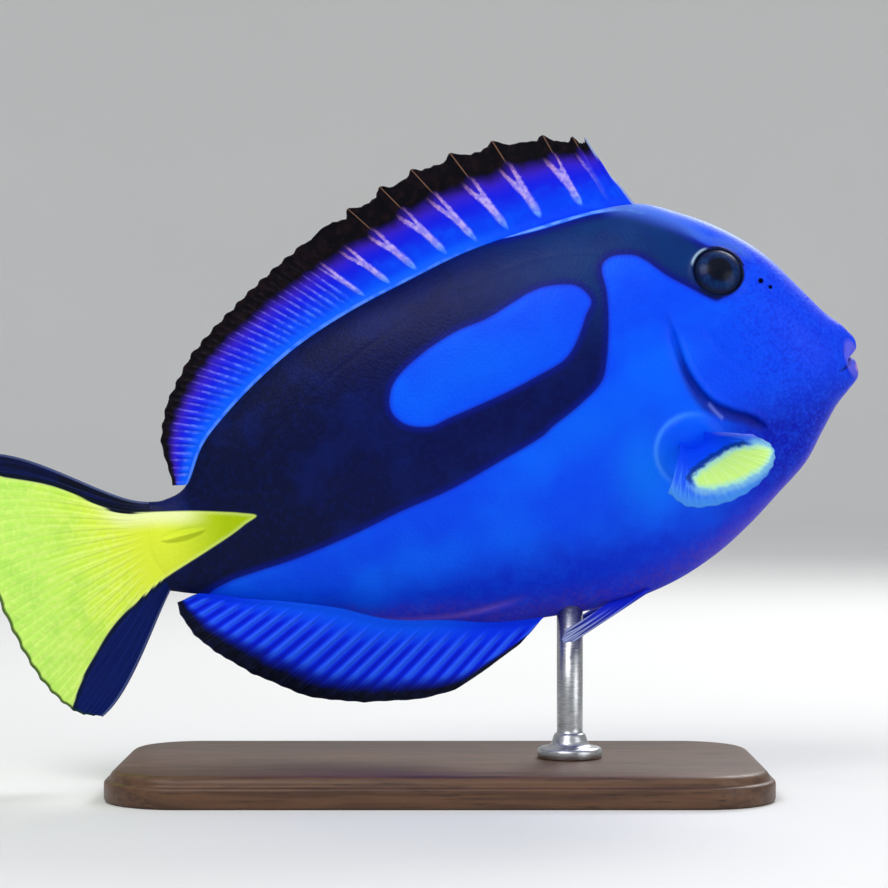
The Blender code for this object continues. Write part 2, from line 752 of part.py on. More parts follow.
def make_fins(skin):
    median_fin(
        "dorsal_fin", dorsal_places(), DORSAL_RAYS, DORSAL_FIRST_STATION, DORSAL_LAST_STATION,
        low=False, notch=DORSAL_NOTCH, wave=DORSAL_WAVE, skin=skin,
    )
    anal_places = [i / (ANAL_RAY_COUNT - 1) for i in range(ANAL_RAY_COUNT)]
    median_fin(
        "anal_fin", anal_places, ANAL_RAYS, ANAL_FIRST_STATION, ANAL_LAST_STATION,
        low=True, notch=ANAL_NOTCH, wave=ANAL_WAVE, skin=skin,
    )
    tail_fin("caudal_fin", swollen())
    pectoral_reach = [(r,) for r in PECTORAL_REACH]
    pelvic_reach = [(PELVIC_REACH,)] * 2
    for side, label in ((1, "left"), (-1, "right")):
        side_fin(
            f"pectoral_fin_{label}", side, PECTORAL_ROOT, PECTORAL_EDGE, pectoral_reach,
            PECTORAL_RAY_COUNT, PECTORAL_CURL, skin, valleys=True,
        )
        side_fin(
            f"pelvic_fin_{label}", side, PELVIC_ROOT, PELVIC_EDGE, pelvic_reach,
            PELVIC_RAY_COUNT, PELVIC_CURL, skin, valleys=False, root_side=PELVIC_ROOT_SIDE,
        )


def bend_fish():
    """Bends the tail sideways, all of the fish by the same rule, so that the gaps stay."""
    for obj in bpy.context.scene.objects:
        for vertex in obj.data.vertices:
            past = max(0.0, (-vertex.co.x - BEND_START) / BEND_LENGTH)
            vertex.co.y += BEND_SIDE * past**2


def fish_matrix():
    return Matrix.Translation((SNOUT_X, 0.0, SNOUT_Z)) @ Matrix.Rotation(-NOSE_UP, 4, "Y")


def pose_fish():
    """Hangs every piece of the fish on an empty that tips it nose up over the stand."""
    carrier = bpy.data.objects.new("fish", None)
    pieces = list(bpy.context.scene.objects)
    bpy.context.scene.collection.objects.link(carrier)
    carrier.location = (SNOUT_X, 0.0, SNOUT_Z)
    carrier.rotation_euler = (0.0, -NOSE_UP, 0.0)
    for piece in pieces:
        piece.parent = carrier


def make_base():
    """The foot of the stand: a flat plate with round corners and a softened upper edge."""
    outline = []
    for quarter, (x, y) in enumerate(((1, 1), (-1, 1), (-1, -1), (1, -1))):
        for i in range(BASE_CORNER_STEPS + 1):
            turn = math.pi / 2 * (quarter + i / BASE_CORNER_STEPS)
            outline.append((
                x * (BASE_LENGTH / 2 - BASE_CORNER) + BASE_CORNER * math.cos(turn),
                y * (BASE_WIDTH / 2 - BASE_CORNER) + BASE_CORNER * math.sin(turn),
            ))
    count = len(outline)
    levels = ((0.0, 0.0), (BASE_HEIGHT - BASE_EDGE, 0.0), (BASE_HEIGHT, BASE_EDGE))
    points = []
    for height, inset in levels:
        across, along = 1 - 2 * inset / BASE_LENGTH, 1 - 2 * inset / BASE_WIDTH
        points += [Vector((x * across, y * along, height)) for x, y in outline]
    faces = [tuple(range(count)), tuple(range(2 * count, 3 * count))]
    for level in range(2):
        for i in range(count):
            a, b = level * count + i, level * count + (i + 1) % count
            faces.append((a, b, b + count, a + count))
    return new_object("stand_base", points, faces)


def make_rod():
    """The rod with its foot, its top cut to the belly that it carries."""
    bottom = BASE_HEIGHT + GAP
    foot_top = bottom + ROD_FOOT_HEIGHT
    profile = (
        (ROD_FOOT_RADIUS, bottom),
        (ROD_FOOT_RADIUS, foot_top - ROD_FOOT_EDGE),
        (ROD_FOOT_RADIUS - ROD_FOOT_EDGE, foot_top),
        (ROD_RADIUS + ROD_COLLAR, foot_top + ROD_COLLAR_RISE),
        (ROD_RADIUS, foot_top + ROD_COLLAR_HEIGHT),
        (ROD_RADIUS, ROD_TOP),
    )
    points, faces = [], []
    for radius, height in profile:
        for i in range(ROD_SIDES):
            turn = 2 * math.pi * i / ROD_SIDES
            spot = (ROD_X + radius * math.cos(turn), radius * math.sin(turn), height)
            points.append(Vector(spot))
    levels = len(profile)
    for level in range(levels - 1):
        for i in range(ROD_SIDES):
            a, b = level * ROD_SIDES + i, level * ROD_SIDES + (i + 1) % ROD_SIDES
            faces.append((a, b, b + ROD_SIDES, a + ROD_SIDES))
    faces.append(tuple(range(ROD_SIDES)))
    faces.append(tuple(range((levels - 1) * ROD_SIDES, levels * ROD_SIDES)))
    rod = new_object("stand_rod", points, faces)
    belly = swollen()
    belly.matrix_world = fish_matrix()
    combine(rod, belly, "DIFFERENCE")


MATERIALS = {
    # node name start: colour, roughness, metallic
    "head": ((0.02, 0.10, 0.85), 0.35, 0.0),
    "trunk": ((0.02, 0.12, 0.90), 0.35, 0.0),
    "tail_stem": ((0.70, 0.75, 0.02), 0.35, 0.0),
    "caudal_fin": ((0.75, 0.85, 0.05), 0.4, 0.0),
    "dorsal_fin": ((0.03, 0.08, 0.60), 0.4, 0.0),
    "anal_fin": ((0.03, 0.08, 0.60), 0.4, 0.0),
    "pectoral_fin": ((0.60, 0.80, 0.10), 0.4, 0.0),
    "pelvic_fin": ((0.35, 0.45, 0.75), 0.4, 0.0),
    "eye": ((0.02, 0.03, 0.05), 0.1, 0.0),
    "stand_base": ((0.03, 0.03, 0.035), 0.5, 0.0),
    "stand_rod": ((0.60, 0.61, 0.62), 0.3, 1.0),
}


def give_materials():
    for obj in bpy.context.scene.objects:
        if obj.type != "MESH":
            continue
        kind = next(start for start in MATERIALS if obj.name.startswith(start))
        colour, roughness, metallic = MATERIALS[kind]
        material = bpy.data.materials.new(obj.name)
        material.use_nodes = True
        shader = material.node_tree.nodes["Principled BSDF"]
        shader.inputs["Base Color"].default_value = (*colour, 1.0)
        shader.inputs["Roughness"].default_value = roughness
        shader.inputs["Metallic"].default_value = metallic
        obj.data.materials.clear()
        obj.data.materials.append(material)
        obj.data.shade_smooth()
        obj.data.set_sharp_from_angle(angle=math.radians(35.0))


def main():
    for obj in list(bpy.data.objects):
        bpy.data.objects.remove(obj)
    skin = make_body_nodes()
    make_fins(skin)
    bend_fish()
    pose_fish()
    make_base()
    make_rod()
    give_materials()


main()
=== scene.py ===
"""Looks of a regal blue tang, a life-size display model held nose up by a plain stand.

The fish is made in its own frame, as in the solids: back is the distance behind the tip of the
snout along the body's axis, up is the fish's own up, and side is to its left. Blender's x is -back.
The tail is then bent, and everything is tipped nose up over the stand. The markings are distances
from smooth outlines, kept on the points of the meshes and coloured by the nodes of the materials.
Lengths are in millimetres, but in the studio and for noise and bumps in the nodes, in metres.
"""

import math

import bmesh
import bpy
import numpy as np
from mathutils import Matrix, Vector
from mathutils.bvhtree import BVHTree


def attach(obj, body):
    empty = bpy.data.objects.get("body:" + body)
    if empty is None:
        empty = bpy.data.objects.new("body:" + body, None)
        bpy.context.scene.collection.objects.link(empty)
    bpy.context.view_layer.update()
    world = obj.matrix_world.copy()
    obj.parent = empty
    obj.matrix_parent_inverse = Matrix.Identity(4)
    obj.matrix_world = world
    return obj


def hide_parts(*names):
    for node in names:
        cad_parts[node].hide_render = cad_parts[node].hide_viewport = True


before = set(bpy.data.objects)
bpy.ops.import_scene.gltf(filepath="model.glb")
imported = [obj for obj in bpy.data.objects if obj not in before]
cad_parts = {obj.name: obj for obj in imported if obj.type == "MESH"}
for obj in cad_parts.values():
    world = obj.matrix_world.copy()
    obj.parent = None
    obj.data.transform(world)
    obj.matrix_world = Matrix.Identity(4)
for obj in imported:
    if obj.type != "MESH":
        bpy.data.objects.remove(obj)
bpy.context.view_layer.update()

MM = 0.001
TURN = 2 * math.pi
SIDES = ((1, "left"), (-1, "right"))

# Pose of the fish over the stand, and the bend of its tail
SNOUT = (108.7, 0.0, 112.1)
NOSE_UP = math.radians(15.0)
POSE = Matrix.Translation(SNOUT) @ Matrix.Rotation(-NOSE_UP, 4, "Y")
BEND_START = 95.0
BEND_LENGTH = 138.0
BEND_SIDE = 5.0

# Skin: top back and up, low back and up, half width, setback of the sides, sharpness of the keels
STATIONS = (
    (3.6, 1.4, 3.6, 0.8, 2.2, 2.2, 1.0),
    (1.6, 1.7, 1.7, 1.2, 3.4, 3.0, 1.0),
    (-0.8, 2.6, 0.2, 0.3, 4.0, 3.5, 0.9),
    (-1.4, 4.6, -0.2, -2.3, 4.6, 3.6, 0.9),
    (-1.0, 6.3, 0.4, -4.3, 4.8, 3.4, 0.9),
    (-0.2, 7.7, 1.4, -5.4, 4.7, 2.9, 0.95),
    (1.4, 10.3, 3.7, -7.1, 6.0, 2.0, 1.0),
    (4.8, 14.6, 8.0, -10.4, 8.0, 1.0, 1.1),
    (9.5, 22.7, 13.0, -15.7, 10.1, 0.3, 1.2),
    (16.0, 33.2, 19.5, -22.6, 12.2, 0.0, 1.25),
    (24.5, 42.0, 28.0, -28.2, 13.9, 0.0, 1.25),
    (34.5, 49.2, 38.0, -34.5, 15.1, 0.0, 1.25),
    (45.0, 54.5, 49.0, -40.0, 15.9, 0.0, 1.25),
    (60.0, 55.8, 62.0, -44.0, 16.3, 0.0, 1.25),
    (76.0, 55.2, 77.0, -45.6, 16.1, 0.0, 1.25),
    (92.0, 53.8, 92.0, -44.5, 15.2, 0.0, 1.25),
    (108.0, 50.6, 107.5, -42.4, 13.7, 0.0, 1.25),
    (124.0, 47.0, 121.0, -38.4, 11.8, 0.0, 1.25),
    (139.0, 42.2, 135.0, -34.6, 9.8, 0.0, 1.25),
    (152.0, 36.0, 148.0, -27.9, 8.0, 0.0, 1.2),
    (163.0, 29.3, 160.0, -23.0, 6.6, 0.0, 1.15),
    (171.0, 23.0, 169.5, -19.7, 5.6, 0.0, 1.1),
    (178.0, 13.6, 177.0, -16.6, 4.9, 0.0, 1.05),
    (184.5, 11.5, 184.5, -13.9, 4.2, 0.0, 1.0),
    (189.5, 12.1, 189.5, -11.9, 3.2, 0.0, 1.0),
    (193.0, 11.2, 193.0, -11.0, 1.6, 0.0, 1.0),
)
LAST_STATION = len(STATIONS) - 1
SIDE_DROOP = 0.45
RING_POINTS = 512
HEAD_STEP = 0.36
BODY_STEP = 0.70
HEAD_END = 58.0
OUTSIDE = 40.0

# Edge of the gill cover from top to bottom: back and up
GILL_LINE = (
    (43.6, 64.0), (44.6, 50.0), (46.2, 38.0), (46.2, 29.0), (45.1, 20.0),
    (44.2, 9.1), (41.0, 0.9), (36.2, -3.6), (31.1, -6.8), (27.5, -11.6),
    (25.2, -19.0), (24.0, -40.0),
)
# Heights between which its relief fades in, from above and from below, and the step at the edge
GILL_TOP = (26.0, 16.0)
GILL_FOOT = (-13.0, -8.0)
GILL_EDGE = (-0.4, 1.0)
# Height, place behind the edge and width of the cover, its lip, the shoulder's drop and its gutter
GILL_FORMS = ((0.8, 0.0, 5.0), (0.25, -0.6, 0.7), (0.9, 0.0, 3.0), (0.25, 0.8, 0.9))
PAD_BACK = 48.5
PAD_UP = -11.6
PAD_RADIUS = 9.9
PAD_FLAT = 7.3
PAD_RISE = 0.9
RELIEF_FADE = 2.5

# Eyes
EYE_BACK = 29.8
EYE_UP = 31.3
EYE_RADIUS = 7.0
EYE_HALF_DEPTH = 3.9
EYE_SINK = 1.9

# Nostrils, in front of the eye: back, up and radius of each pit
NOSTRILS = ((19.6, 26.2, 0.8), (17.6, 24.0, 0.6))
NOSTRIL_DEPTH = 1.0
NOSTRIL_RIM = 0.18
NOSTRIL_RIM_WIDTH = 0.4

# Scalpel: the blade folded on each side of the tail stem, point forward
SCALPEL_ROOT = 186.6
SCALPEL_POINT = 175.2
SCALPEL_UP = 1.2
SCALPEL_TALL = 2.2
SCALPEL_PROUD = 1.1
SCALPEL_GROOVE = 0.3
SCALPEL_ARCH = 0.12

# Outlines of the markings, back and up
BLACK_OUTLINE = (
    (22.9, 32.3), (26.4, 25.7), (30.9, 24.2), (33.3, 24.5), (38.2, 29.0), (43.0, 33.6),
    (47.7, 39.4), (50.9, 41.4), (55.5, 42.1), (58.6, 39.9), (59.1, 33.3), (61.0, 24.9),
    (63.8, 16.6), (66.8, 11.3), (73.8, 7.1), (81.3, 3.8), (85.8, 1.6), (97.0, -1.5),
    (111.2, -5.2), (125.2, -7.4), (139.5, -10.2), (154.9, -12.3), (165.0, -12.9),
    (174.0, -13.8), (182.0, -17.0), (198.0, -30.0), (215.0, 0.0), (198.0, 30.0),
    (172.0, 50.0), (140.0, 66.0), (110.0, 68.0), (94.0, 60.0), (84.0, 55.2), (74.2, 54.2),
    (64.5, 54.4), (56.8, 54.5), (49.4, 53.4), (44.5, 50.8),
    (36.6, 45.4), (33.4, 41.8), (30.5, 38.8), (25.5, 36.6),
)
OVAL_OUTLINE = (
    (73.0, 39.0), (66.3, 37.2), (63.6, 32.6), (65.9, 29.2), (69.8, 23.6), (74.4, 19.5),
    (82.1, 17.3), (88.9, 15.7), (97.3, 14.2), (106.1, 12.9), (112.0, 12.0), (117.8, 14.1),
    (120.6, 18.6), (118.9, 24.1), (114.4, 27.9), (106.7, 31.5), (98.6, 33.9), (90.9, 34.9),
    (83.1, 37.2), (78.4, 38.6),
)
YELLOW_OUTLINE = (
    (161.4, 1.3), (165.5, 3.1), (169.4, 4.4), (178.3, 7.0), (188.6, 9.4), (196.0, 11.0),
    (201.2, 14.3), (211.8, 22.6), (224.3, 28.5), (236.0, 34.0), (246.0, 0.0),
    (232.0, -46.0), (224.0, -38.6), (221.9, -34.7), (217.6, -28.5), (213.0, -23.5),
    (206.8, -17.8), (202.2, -14.7), (195.6, -11.3), (189.1, -8.4), (178.7, -5.1),
    (169.3, -2.0), (165.0, -0.2),
)
PATCH_OUTLINE = (
    (40.2, -13.1), (36.6, -13.2), (33.6, -14.1), (32.5, -15.8), (33.6, -18.1), (36.6, -19.9),
    (40.8, -21.2), (45.0, -21.6), (49.0, -21.3), (51.7, -20.0), (52.1, -17.7), (49.9, -16.4),
    (46.3, -15.2), (42.9, -14.0),
)
CREASE_LINE = (
    (152.0, -23.5), (145.9, -28.4), (141.8, -31.2), (132.7, -34.9), (119.0, -37.4),
    (108.3, -37.6), (97.4, -37.0),
)
# Line of a painted highlight (glint) in the shade behind the gill cover: back and up
GLINT_LINE = ((41.2, -1.2), (40.2, -3.4), (39.0, -5.3))
CHEEK_LINE = ((38.0, 22.0), (36.0, 14.0), (31.0, 6.0), (23.0, 0.5), (15.0, -2.5), (9.0, -3.0))
# Slit at the mouth's corner, grooved and painted dark as shade in the slit: back and up
GAPE_LINE = ((1.2, -0.2), (2.6, -0.9), (4.4, -1.5), (6.4, -1.9))
SIDE_LINE = (
    (48.0, 33.0), (54.0, 41.0), (64.0, 45.5), (80.0, 46.5), (100.0, 43.0), (120.0, 37.0),
    (140.0, 28.0), (155.0, 18.0), (168.0, 8.0), (178.0, 3.0),
)


def spline(keys, where):
    """Catmull-Rom through the rows of keys, where 0 is the first row and 1 the second."""
    keys = np.asarray(keys, float)
    where = np.clip(np.asarray(where, float), 0.0, len(keys) - 1.0)
    first = np.minimum(where.astype(int), len(keys) - 2)
    part = (where - first)[..., None]
    padded = np.concatenate(([2 * keys[0] - keys[1]], keys, [2 * keys[-1] - keys[-2]]))
    p0, p1, p2, p3 = (padded[first + k] for k in range(4))
    bend = 2 * p0 - 5 * p1 + 4 * p2 - p3
    turn = 3 * p1 - p0 - 3 * p2 + p3
    return 0.5 * (2 * p1 + (p2 - p0) * part + bend * part**2 + turn * part**3)


def smooth_line(keys, steps=5):
    return spline(keys, np.arange((len(keys) - 1) * steps + 1) / steps)


def smooth_loop(keys, steps=5):
    """A closed spline through the keys."""
    wrapped = keys[-2:] + keys + keys[:3]
    return spline(wrapped, 2 + np.arange(len(keys) * steps) / steps)


def bezier(points, part):
    """Points of the cubic Bezier curve with these four points."""
    p0, p1, p2, p3 = (np.asarray(p, float) for p in points)
    part = np.asarray(part, float)[..., None]
    rest = 1.0 - part
    return rest**3 * p0 + 3 * rest**2 * part * p1 + 3 * rest * part**2 * p2 + part**3 * p3


def blend(first, second, share):
    return first + (second - first) * share


def ease(low, high, value):
    """0 at low, 1 at high, and smooth between them."""
    part = np.clip((value - low) / (high - low), 0.0, 1.0)
    return part * part * (3.0 - 2.0 * part)


def hump(value, width):
    return np.exp(-((value / width) ** 2))


def from_line(back, up, line):
    """Distance from a line, positive on its left, and how far along it from 0 to 1."""
    best = np.full(np.shape(back), 1e9)
    signed = np.zeros_like(best)
    along = np.zeros_like(best)
    for i, (a, b) in enumerate(zip(line[:-1], line[1:])):
        edge = b - a
        x, y = back - a[0], up - a[1]
        part = np.clip((x * edge[0] + y * edge[1]) / (edge @ edge), 0.0, 1.0)
        away = np.hypot(x - part * edge[0], y - part * edge[1])
        nearer = away < best
        best = np.where(nearer, away, best)
        turn = edge[0] * y - edge[1] * x
        signed = np.where(nearer, np.where(turn > 0, away, -away), signed)
        along = np.where(nearer, (i + part) / (len(line) - 1), along)
    return signed, along


def inside(back, up, loop):
    """Distance inside a closed outline, negative outside it."""
    closed = np.concatenate((loop, loop[:1]))
    away = np.abs(from_line(back, up, closed)[0])
    within = np.zeros(np.shape(back), bool)
    for a, b in zip(closed[:-1], closed[1:]):
        if a[1] == b[1]:
            continue
        crosses = (a[1] > up) != (b[1] > up)
        within ^= crosses & (back < a[0] + (up - a[1]) * (b[0] - a[0]) / (b[1] - a[1]))
    return np.where(within, away, -away)


def spot(back, up, middle_back, middle_up, half_long, half_high):
    """Distance from the middle of an oval spot, 1 at its edge."""
    return np.hypot((back - middle_back) / half_long, (up - middle_up) / half_high)


BLACK_LOOP = smooth_loop(BLACK_OUTLINE)
OVAL_LOOP = smooth_loop(OVAL_OUTLINE)
YELLOW_LOOP = smooth_loop(YELLOW_OUTLINE)
PATCH_LOOP = smooth_loop(PATCH_OUTLINE)
GILL = smooth_line(GILL_LINE, 6)
CREASE = smooth_line(CREASE_LINE)
GLINT = smooth_line(GLINT_LINE)
GAPE = smooth_line(GAPE_LINE)

# Grooves in the skin: line, depth, width, and where along the line it is deepest
GROOVES = (
    (smooth_line(CHEEK_LINE), 0.16, 1.1, 0.15, 0.80),
    (CREASE, 0.30, 0.9, 0.20, 0.85),
    (smooth_line(SIDE_LINE), 0.07, 0.55, 0.05, 0.90),
    (GAPE, 0.22, 0.40, 0.05, 0.60),
)


def scalpel(back, up):
    """The folded blade, as a ridge that stands in a shallow groove."""
    part = (SCALPEL_ROOT - back) / (SCALPEL_ROOT - SCALPEL_POINT)
    full = np.sin(math.pi * np.clip(blend(SCALPEL_ARCH, 1.0, part), 0.0, 1.0)) ** 0.7
    full = full * ease(-0.10, 0.02, part)
    tall = np.maximum(SCALPEL_TALL / 2 * full, 0.01)
    away = np.abs(up - SCALPEL_UP)
    blade = SCALPEL_PROUD * full * np.clip(1.0 - away / tall, 0.0, 1.0) ** 0.8
    return blade - SCALPEL_GROOVE * full * hump(away - tall - 0.3, 0.4)


def relief(back, up):
    """How far the skin stands out beyond the plain loft, sideways."""
    behind, _ = from_line(back, up, GILL)
    cover, lip, drop, gutter = (high * hump(behind - place, wide) for high, place, wide in GILL_FORMS)
    slit = ease(*GILL_TOP, up) * ease(*GILL_FOOT, up)
    pad = PAD_RISE * ease(PAD_RADIUS, PAD_FLAT, np.hypot(back - PAD_BACK, up - PAD_UP))
    height = blend(slit * (cover + lip), pad - slit * (drop + gutter), ease(*GILL_EDGE, behind))
    height += scalpel(back, up)
    for line, depth, width, start, end in GROOVES:
        away, along = from_line(back, up, line)
        height -= depth * hump(away, width) * ease(0.0, start, along) * ease(1.0, end, along)
    for *place, radius in NOSTRILS:
        away = spot(back, up, *place, radius, radius)
        height += NOSTRIL_RIM * hump(away - 1.2, NOSTRIL_RIM_WIDTH / radius)
        height -= NOSTRIL_DEPTH * ease(1.0, 0.5, away)
    return height


def skin_points(stations, angles):
    """Points of the skin, rings by angles: angle 90 degrees is the back, -90 the belly."""
    row = spline(STATIONS, stations)[:, None, :]
    rise, across = np.sin(angles)[None], np.cos(angles)[None]
    top, low = row[..., 0:2], row[..., 2:4]
    centre = (top + low) / 2 + (top - low) / 2 * rise[..., None]
    back = centre[..., 0] + row[..., 5] * across**2
    up = centre[..., 1] - SIDE_DROOP * row[..., 5] * across**2
    out = row[..., 4] * np.abs(across) ** row[..., 6]
    out = out + relief(back, up) * np.minimum(np.abs(across) * RELIEF_FADE, 1.0)
    out = np.where(np.abs(across) > 1e-6, np.copysign(out, across), 0.0)
    return np.stack((-back, out, up), axis=-1)


def ring_stations():
    """Stations for the rings, closer together on the head than behind it."""
    fine = np.linspace(0, LAST_STATION, 6000)
    rows = spline(STATIONS, fine)
    steps = np.diff(rows, axis=0)
    length = np.maximum(np.hypot(steps[:, 0], steps[:, 1]), np.hypot(steps[:, 2], steps[:, 3]))
    density = np.where(rows[1:, 0] < HEAD_END, 1 / HEAD_STEP, 1 / BODY_STEP)
    run = np.concatenate(([0.0], np.cumsum(length * density)))
    return np.interp(np.linspace(0, run[-1], int(run[-1]) + 1), run, fine)


def moved(points, matrix):
    matrix = np.array(matrix)
    return points @ matrix[:3, :3].T + matrix[:3, 3]


def placed(points):
    """Points of the fish's own frame, bent and set over the stand."""
    points = np.array(points, float)
    past = np.maximum(0.0, (-points[:, 0] - BEND_START) / BEND_LENGTH)
    points[:, 1] += BEND_SIDE * past**2
    return moved(points, POSE)


def grid_faces(columns, rows, first=0, closed=False):
    """Quads between neighbouring columns of points."""
    index = first + np.arange(columns * rows).reshape(columns, rows)
    if closed:
        index = np.concatenate((index, index[:, :1]), axis=1)
    a, b = index[:-1, :-1], index[1:, :-1]
    c, d = index[1:, 1:], index[:-1, 1:]
    return np.stack((a, b, c, d), axis=-1).reshape(-1, 4)


def capped(rings, turns, both=True):
    """Faces of a tube of closed rings, with a cap on the first ring, and one on the last if both."""
    faces = grid_faces(rings, turns, closed=True).tolist()
    for ring in (0, rings - 1)[: 1 + both]:
        faces.append(tuple(range(ring * turns, (ring + 1) * turns)))
    return faces


def turned(profile, turns):
    """Rings of points round the z axis, from rows of radius and height."""
    angle = TURN * np.arange(turns) / turns
    radius, height = (column[:, None] for column in np.array(profile, float).T)
    return np.stack((radius * np.cos(angle), radius * np.sin(angle), height + 0 * angle), axis=-1)


def add_object(name, data):
    obj = bpy.data.objects.new(name, data)
    bpy.context.scene.collection.objects.link(obj)
    return obj


def new_piece(name, points, faces, values, material, replaces):
    """A smooth mesh piece on the one body, with a float value of each kind at its points."""
    mesh = bpy.data.meshes.new(name)
    mesh.from_pydata((points.reshape(-1, 3) * MM).tolist(), [], faces)
    for key, numbers in values.items():
        layer = mesh.attributes.new(key, "FLOAT", "POINT")
        layer.data.foreach_set("value", np.ascontiguousarray(numbers, np.float32))
    work = bmesh.new()
    work.from_mesh(mesh)
    bmesh.ops.recalc_face_normals(work, faces=work.faces)
    work.to_mesh(mesh)
    work.free()
    mesh.materials.append(material)
    mesh.shade_smooth()
    obj = add_object(name, mesh)
    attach(obj, "root")
    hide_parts(*replaces)


# Materials. A colour is red, green and blue as on a screen, 0 to 255


def linear(shown):
    """A colour as it looks on a screen, as the linear numbers of the nodes."""
    parts = [c / 255 for c in shown]
    return [c / 12.92 if c <= 0.04045 else ((c + 0.055) / 1.055) ** 2.4 for c in parts] + [1.0]


class Signal:
    """An output of a material's nodes. Sums with it add nodes that work them out."""

    def __init__(self, paint, socket):
        self.paint = paint
        self.socket = socket

    def __add__(self, other):
        return self.paint.maths("ADD", self, other)

    def __sub__(self, other):
        return self.paint.maths("SUBTRACT", self, other)

    def __mul__(self, other):
        return self.paint.maths("MULTIPLY", self, other)

    def __truediv__(self, other):
        return self.paint.maths("DIVIDE", self, other)

    def __abs__(self):
        return self.paint.maths("ABSOLUTE", self)


def step(value, low, high):
    """0 at low, 1 at high, and smooth between them."""
    ends = {"From Min": min(low, high), "From Max": max(low, high)}
    goals = {"To Min": low > high, "To Max": low < high}
    return value.paint.add("MapRange", {"Value": value} | ends | goals, interpolation_type="SMOOTHSTEP")


def band(value, low, high, soft):
    """1 between low and high, fading to 0 over soft."""
    return step(value, low - soft, low) * step(value, high + soft, high)


def mix(below, above, share):
    """One colour over another, by its share from 0 to 1. The node's colour sockets go by number."""
    return share.paint.add("Mix", {"Factor": share, 6: below, 7: above}, 2, data_type="RGBA")


GLOSS = {
    "rough": "Roughness",
    "metal": "Metallic",
    "coat": "Coat Weight",
    "coat_rough": "Coat Roughness",
    "shine": "Specular IOR Level",
}


class Paint:
    """The nodes of one material, its finish and its relief built up in layers."""

    def __init__(self, name, **gloss):
        self.material = bpy.data.materials.new(name)
        self.material.use_nodes = True
        self.nodes = self.material.node_tree.nodes
        self.shader = self.nodes["Principled BSDF"].inputs
        self.place = self.add("TexCoord", {}, "Object")
        self.finish = None
        self.relief = None
        for key, value in gloss.items():
            self.feed(self.shader[GLOSS[key]], value)

    def feed(self, socket, value):
        if isinstance(value, Signal):
            self.material.node_tree.links.new(value.socket, socket)
        else:
            socket.default_value = linear(value) if socket.type == "RGBA" else value

    def add(self, kind, inputs, output=0, **settings):
        """A new node with its settings and inputs. Returns one output, by name or number."""
        node = self.nodes.new(f"ShaderNode{kind}")
        for key, setting in settings.items():
            setattr(node, key, setting)
        for key, value in inputs.items():
            self.feed(node.inputs[key], value)
        return Signal(self, node.outputs[output])

    def maths(self, operation, *inputs):
        return self.add("Math", dict(enumerate(inputs)), operation=operation)

    def values(self, *names):
        """Values kept at the points of the mesh."""
        return [self.add("Attribute", {}, "Fac", attribute_name=name) for name in names]

    def noise(self, size, detail=2.0, stretch=None):
        """Smooth noise from 0 to 1 with lumps of this size in metres."""
        place = self.place
        if stretch:
            place = self.add("Mapping", {"Vector": place, "Scale": stretch})
        return self.add("TexNoise", {"Vector": place, "Scale": 1 / size, "Detail": detail}, "Fac")

    def mottle(self, size, low, high, detail=2.0):
        """The noise as spots, 0 where it is under low and 1 where it is over high."""
        return step(self.noise(size, detail), low, high)

    def over(self, above, share):
        """Lays one more colour over the finish, by its share from 0 to 1."""
        self.finish = mix(self.finish, above, share)

    def bump(self, height, depth):
        """Relief finer than the mesh, depth in metres for a height from 0 to 1."""
        inputs = {"Strength": 1.0, "Distance": depth, "Height": height}
        if self.relief:
            inputs["Normal"] = self.relief
        self.relief = self.add("Bump", inputs)

    def done(self, roughness=None):
        layers = {"Base Color": self.finish, "Roughness": roughness, "Normal": self.relief}
        for key, signal in layers.items():
            if signal:
                self.feed(self.shader[key], signal)
        return self.material


BLUE = (0, 70, 238)
LIGHT_BLUE = (0, 94, 250)


def sunny(back, up, yellow):
    """The tail's yellow, from the tip of the wedge on the stem out to the trailing edge, with a painted
    highlight inside its upper edge near the fin's root.
    """
    sun = mix((168, 196, 4), (226, 242, 62), step(back, 167.0, 190.0))
    sun = mix(sun, (192, 242, 100), step(back, 190.0, 226.0))
    # Painted highlight in a pale band inside the yellow's upper edge, where the stem meets the fin
    shine = band(back, 182.0, 196.0, 10.0) * step(up, -2.0, 6.0)
    sun = mix(sun, (246, 252, 196), shine * step(yellow, 5.5, 0.6) * 0.75)
    return mix(sun, (226, 248, 150), step(yellow, 1.3, 0.2) * 0.4)


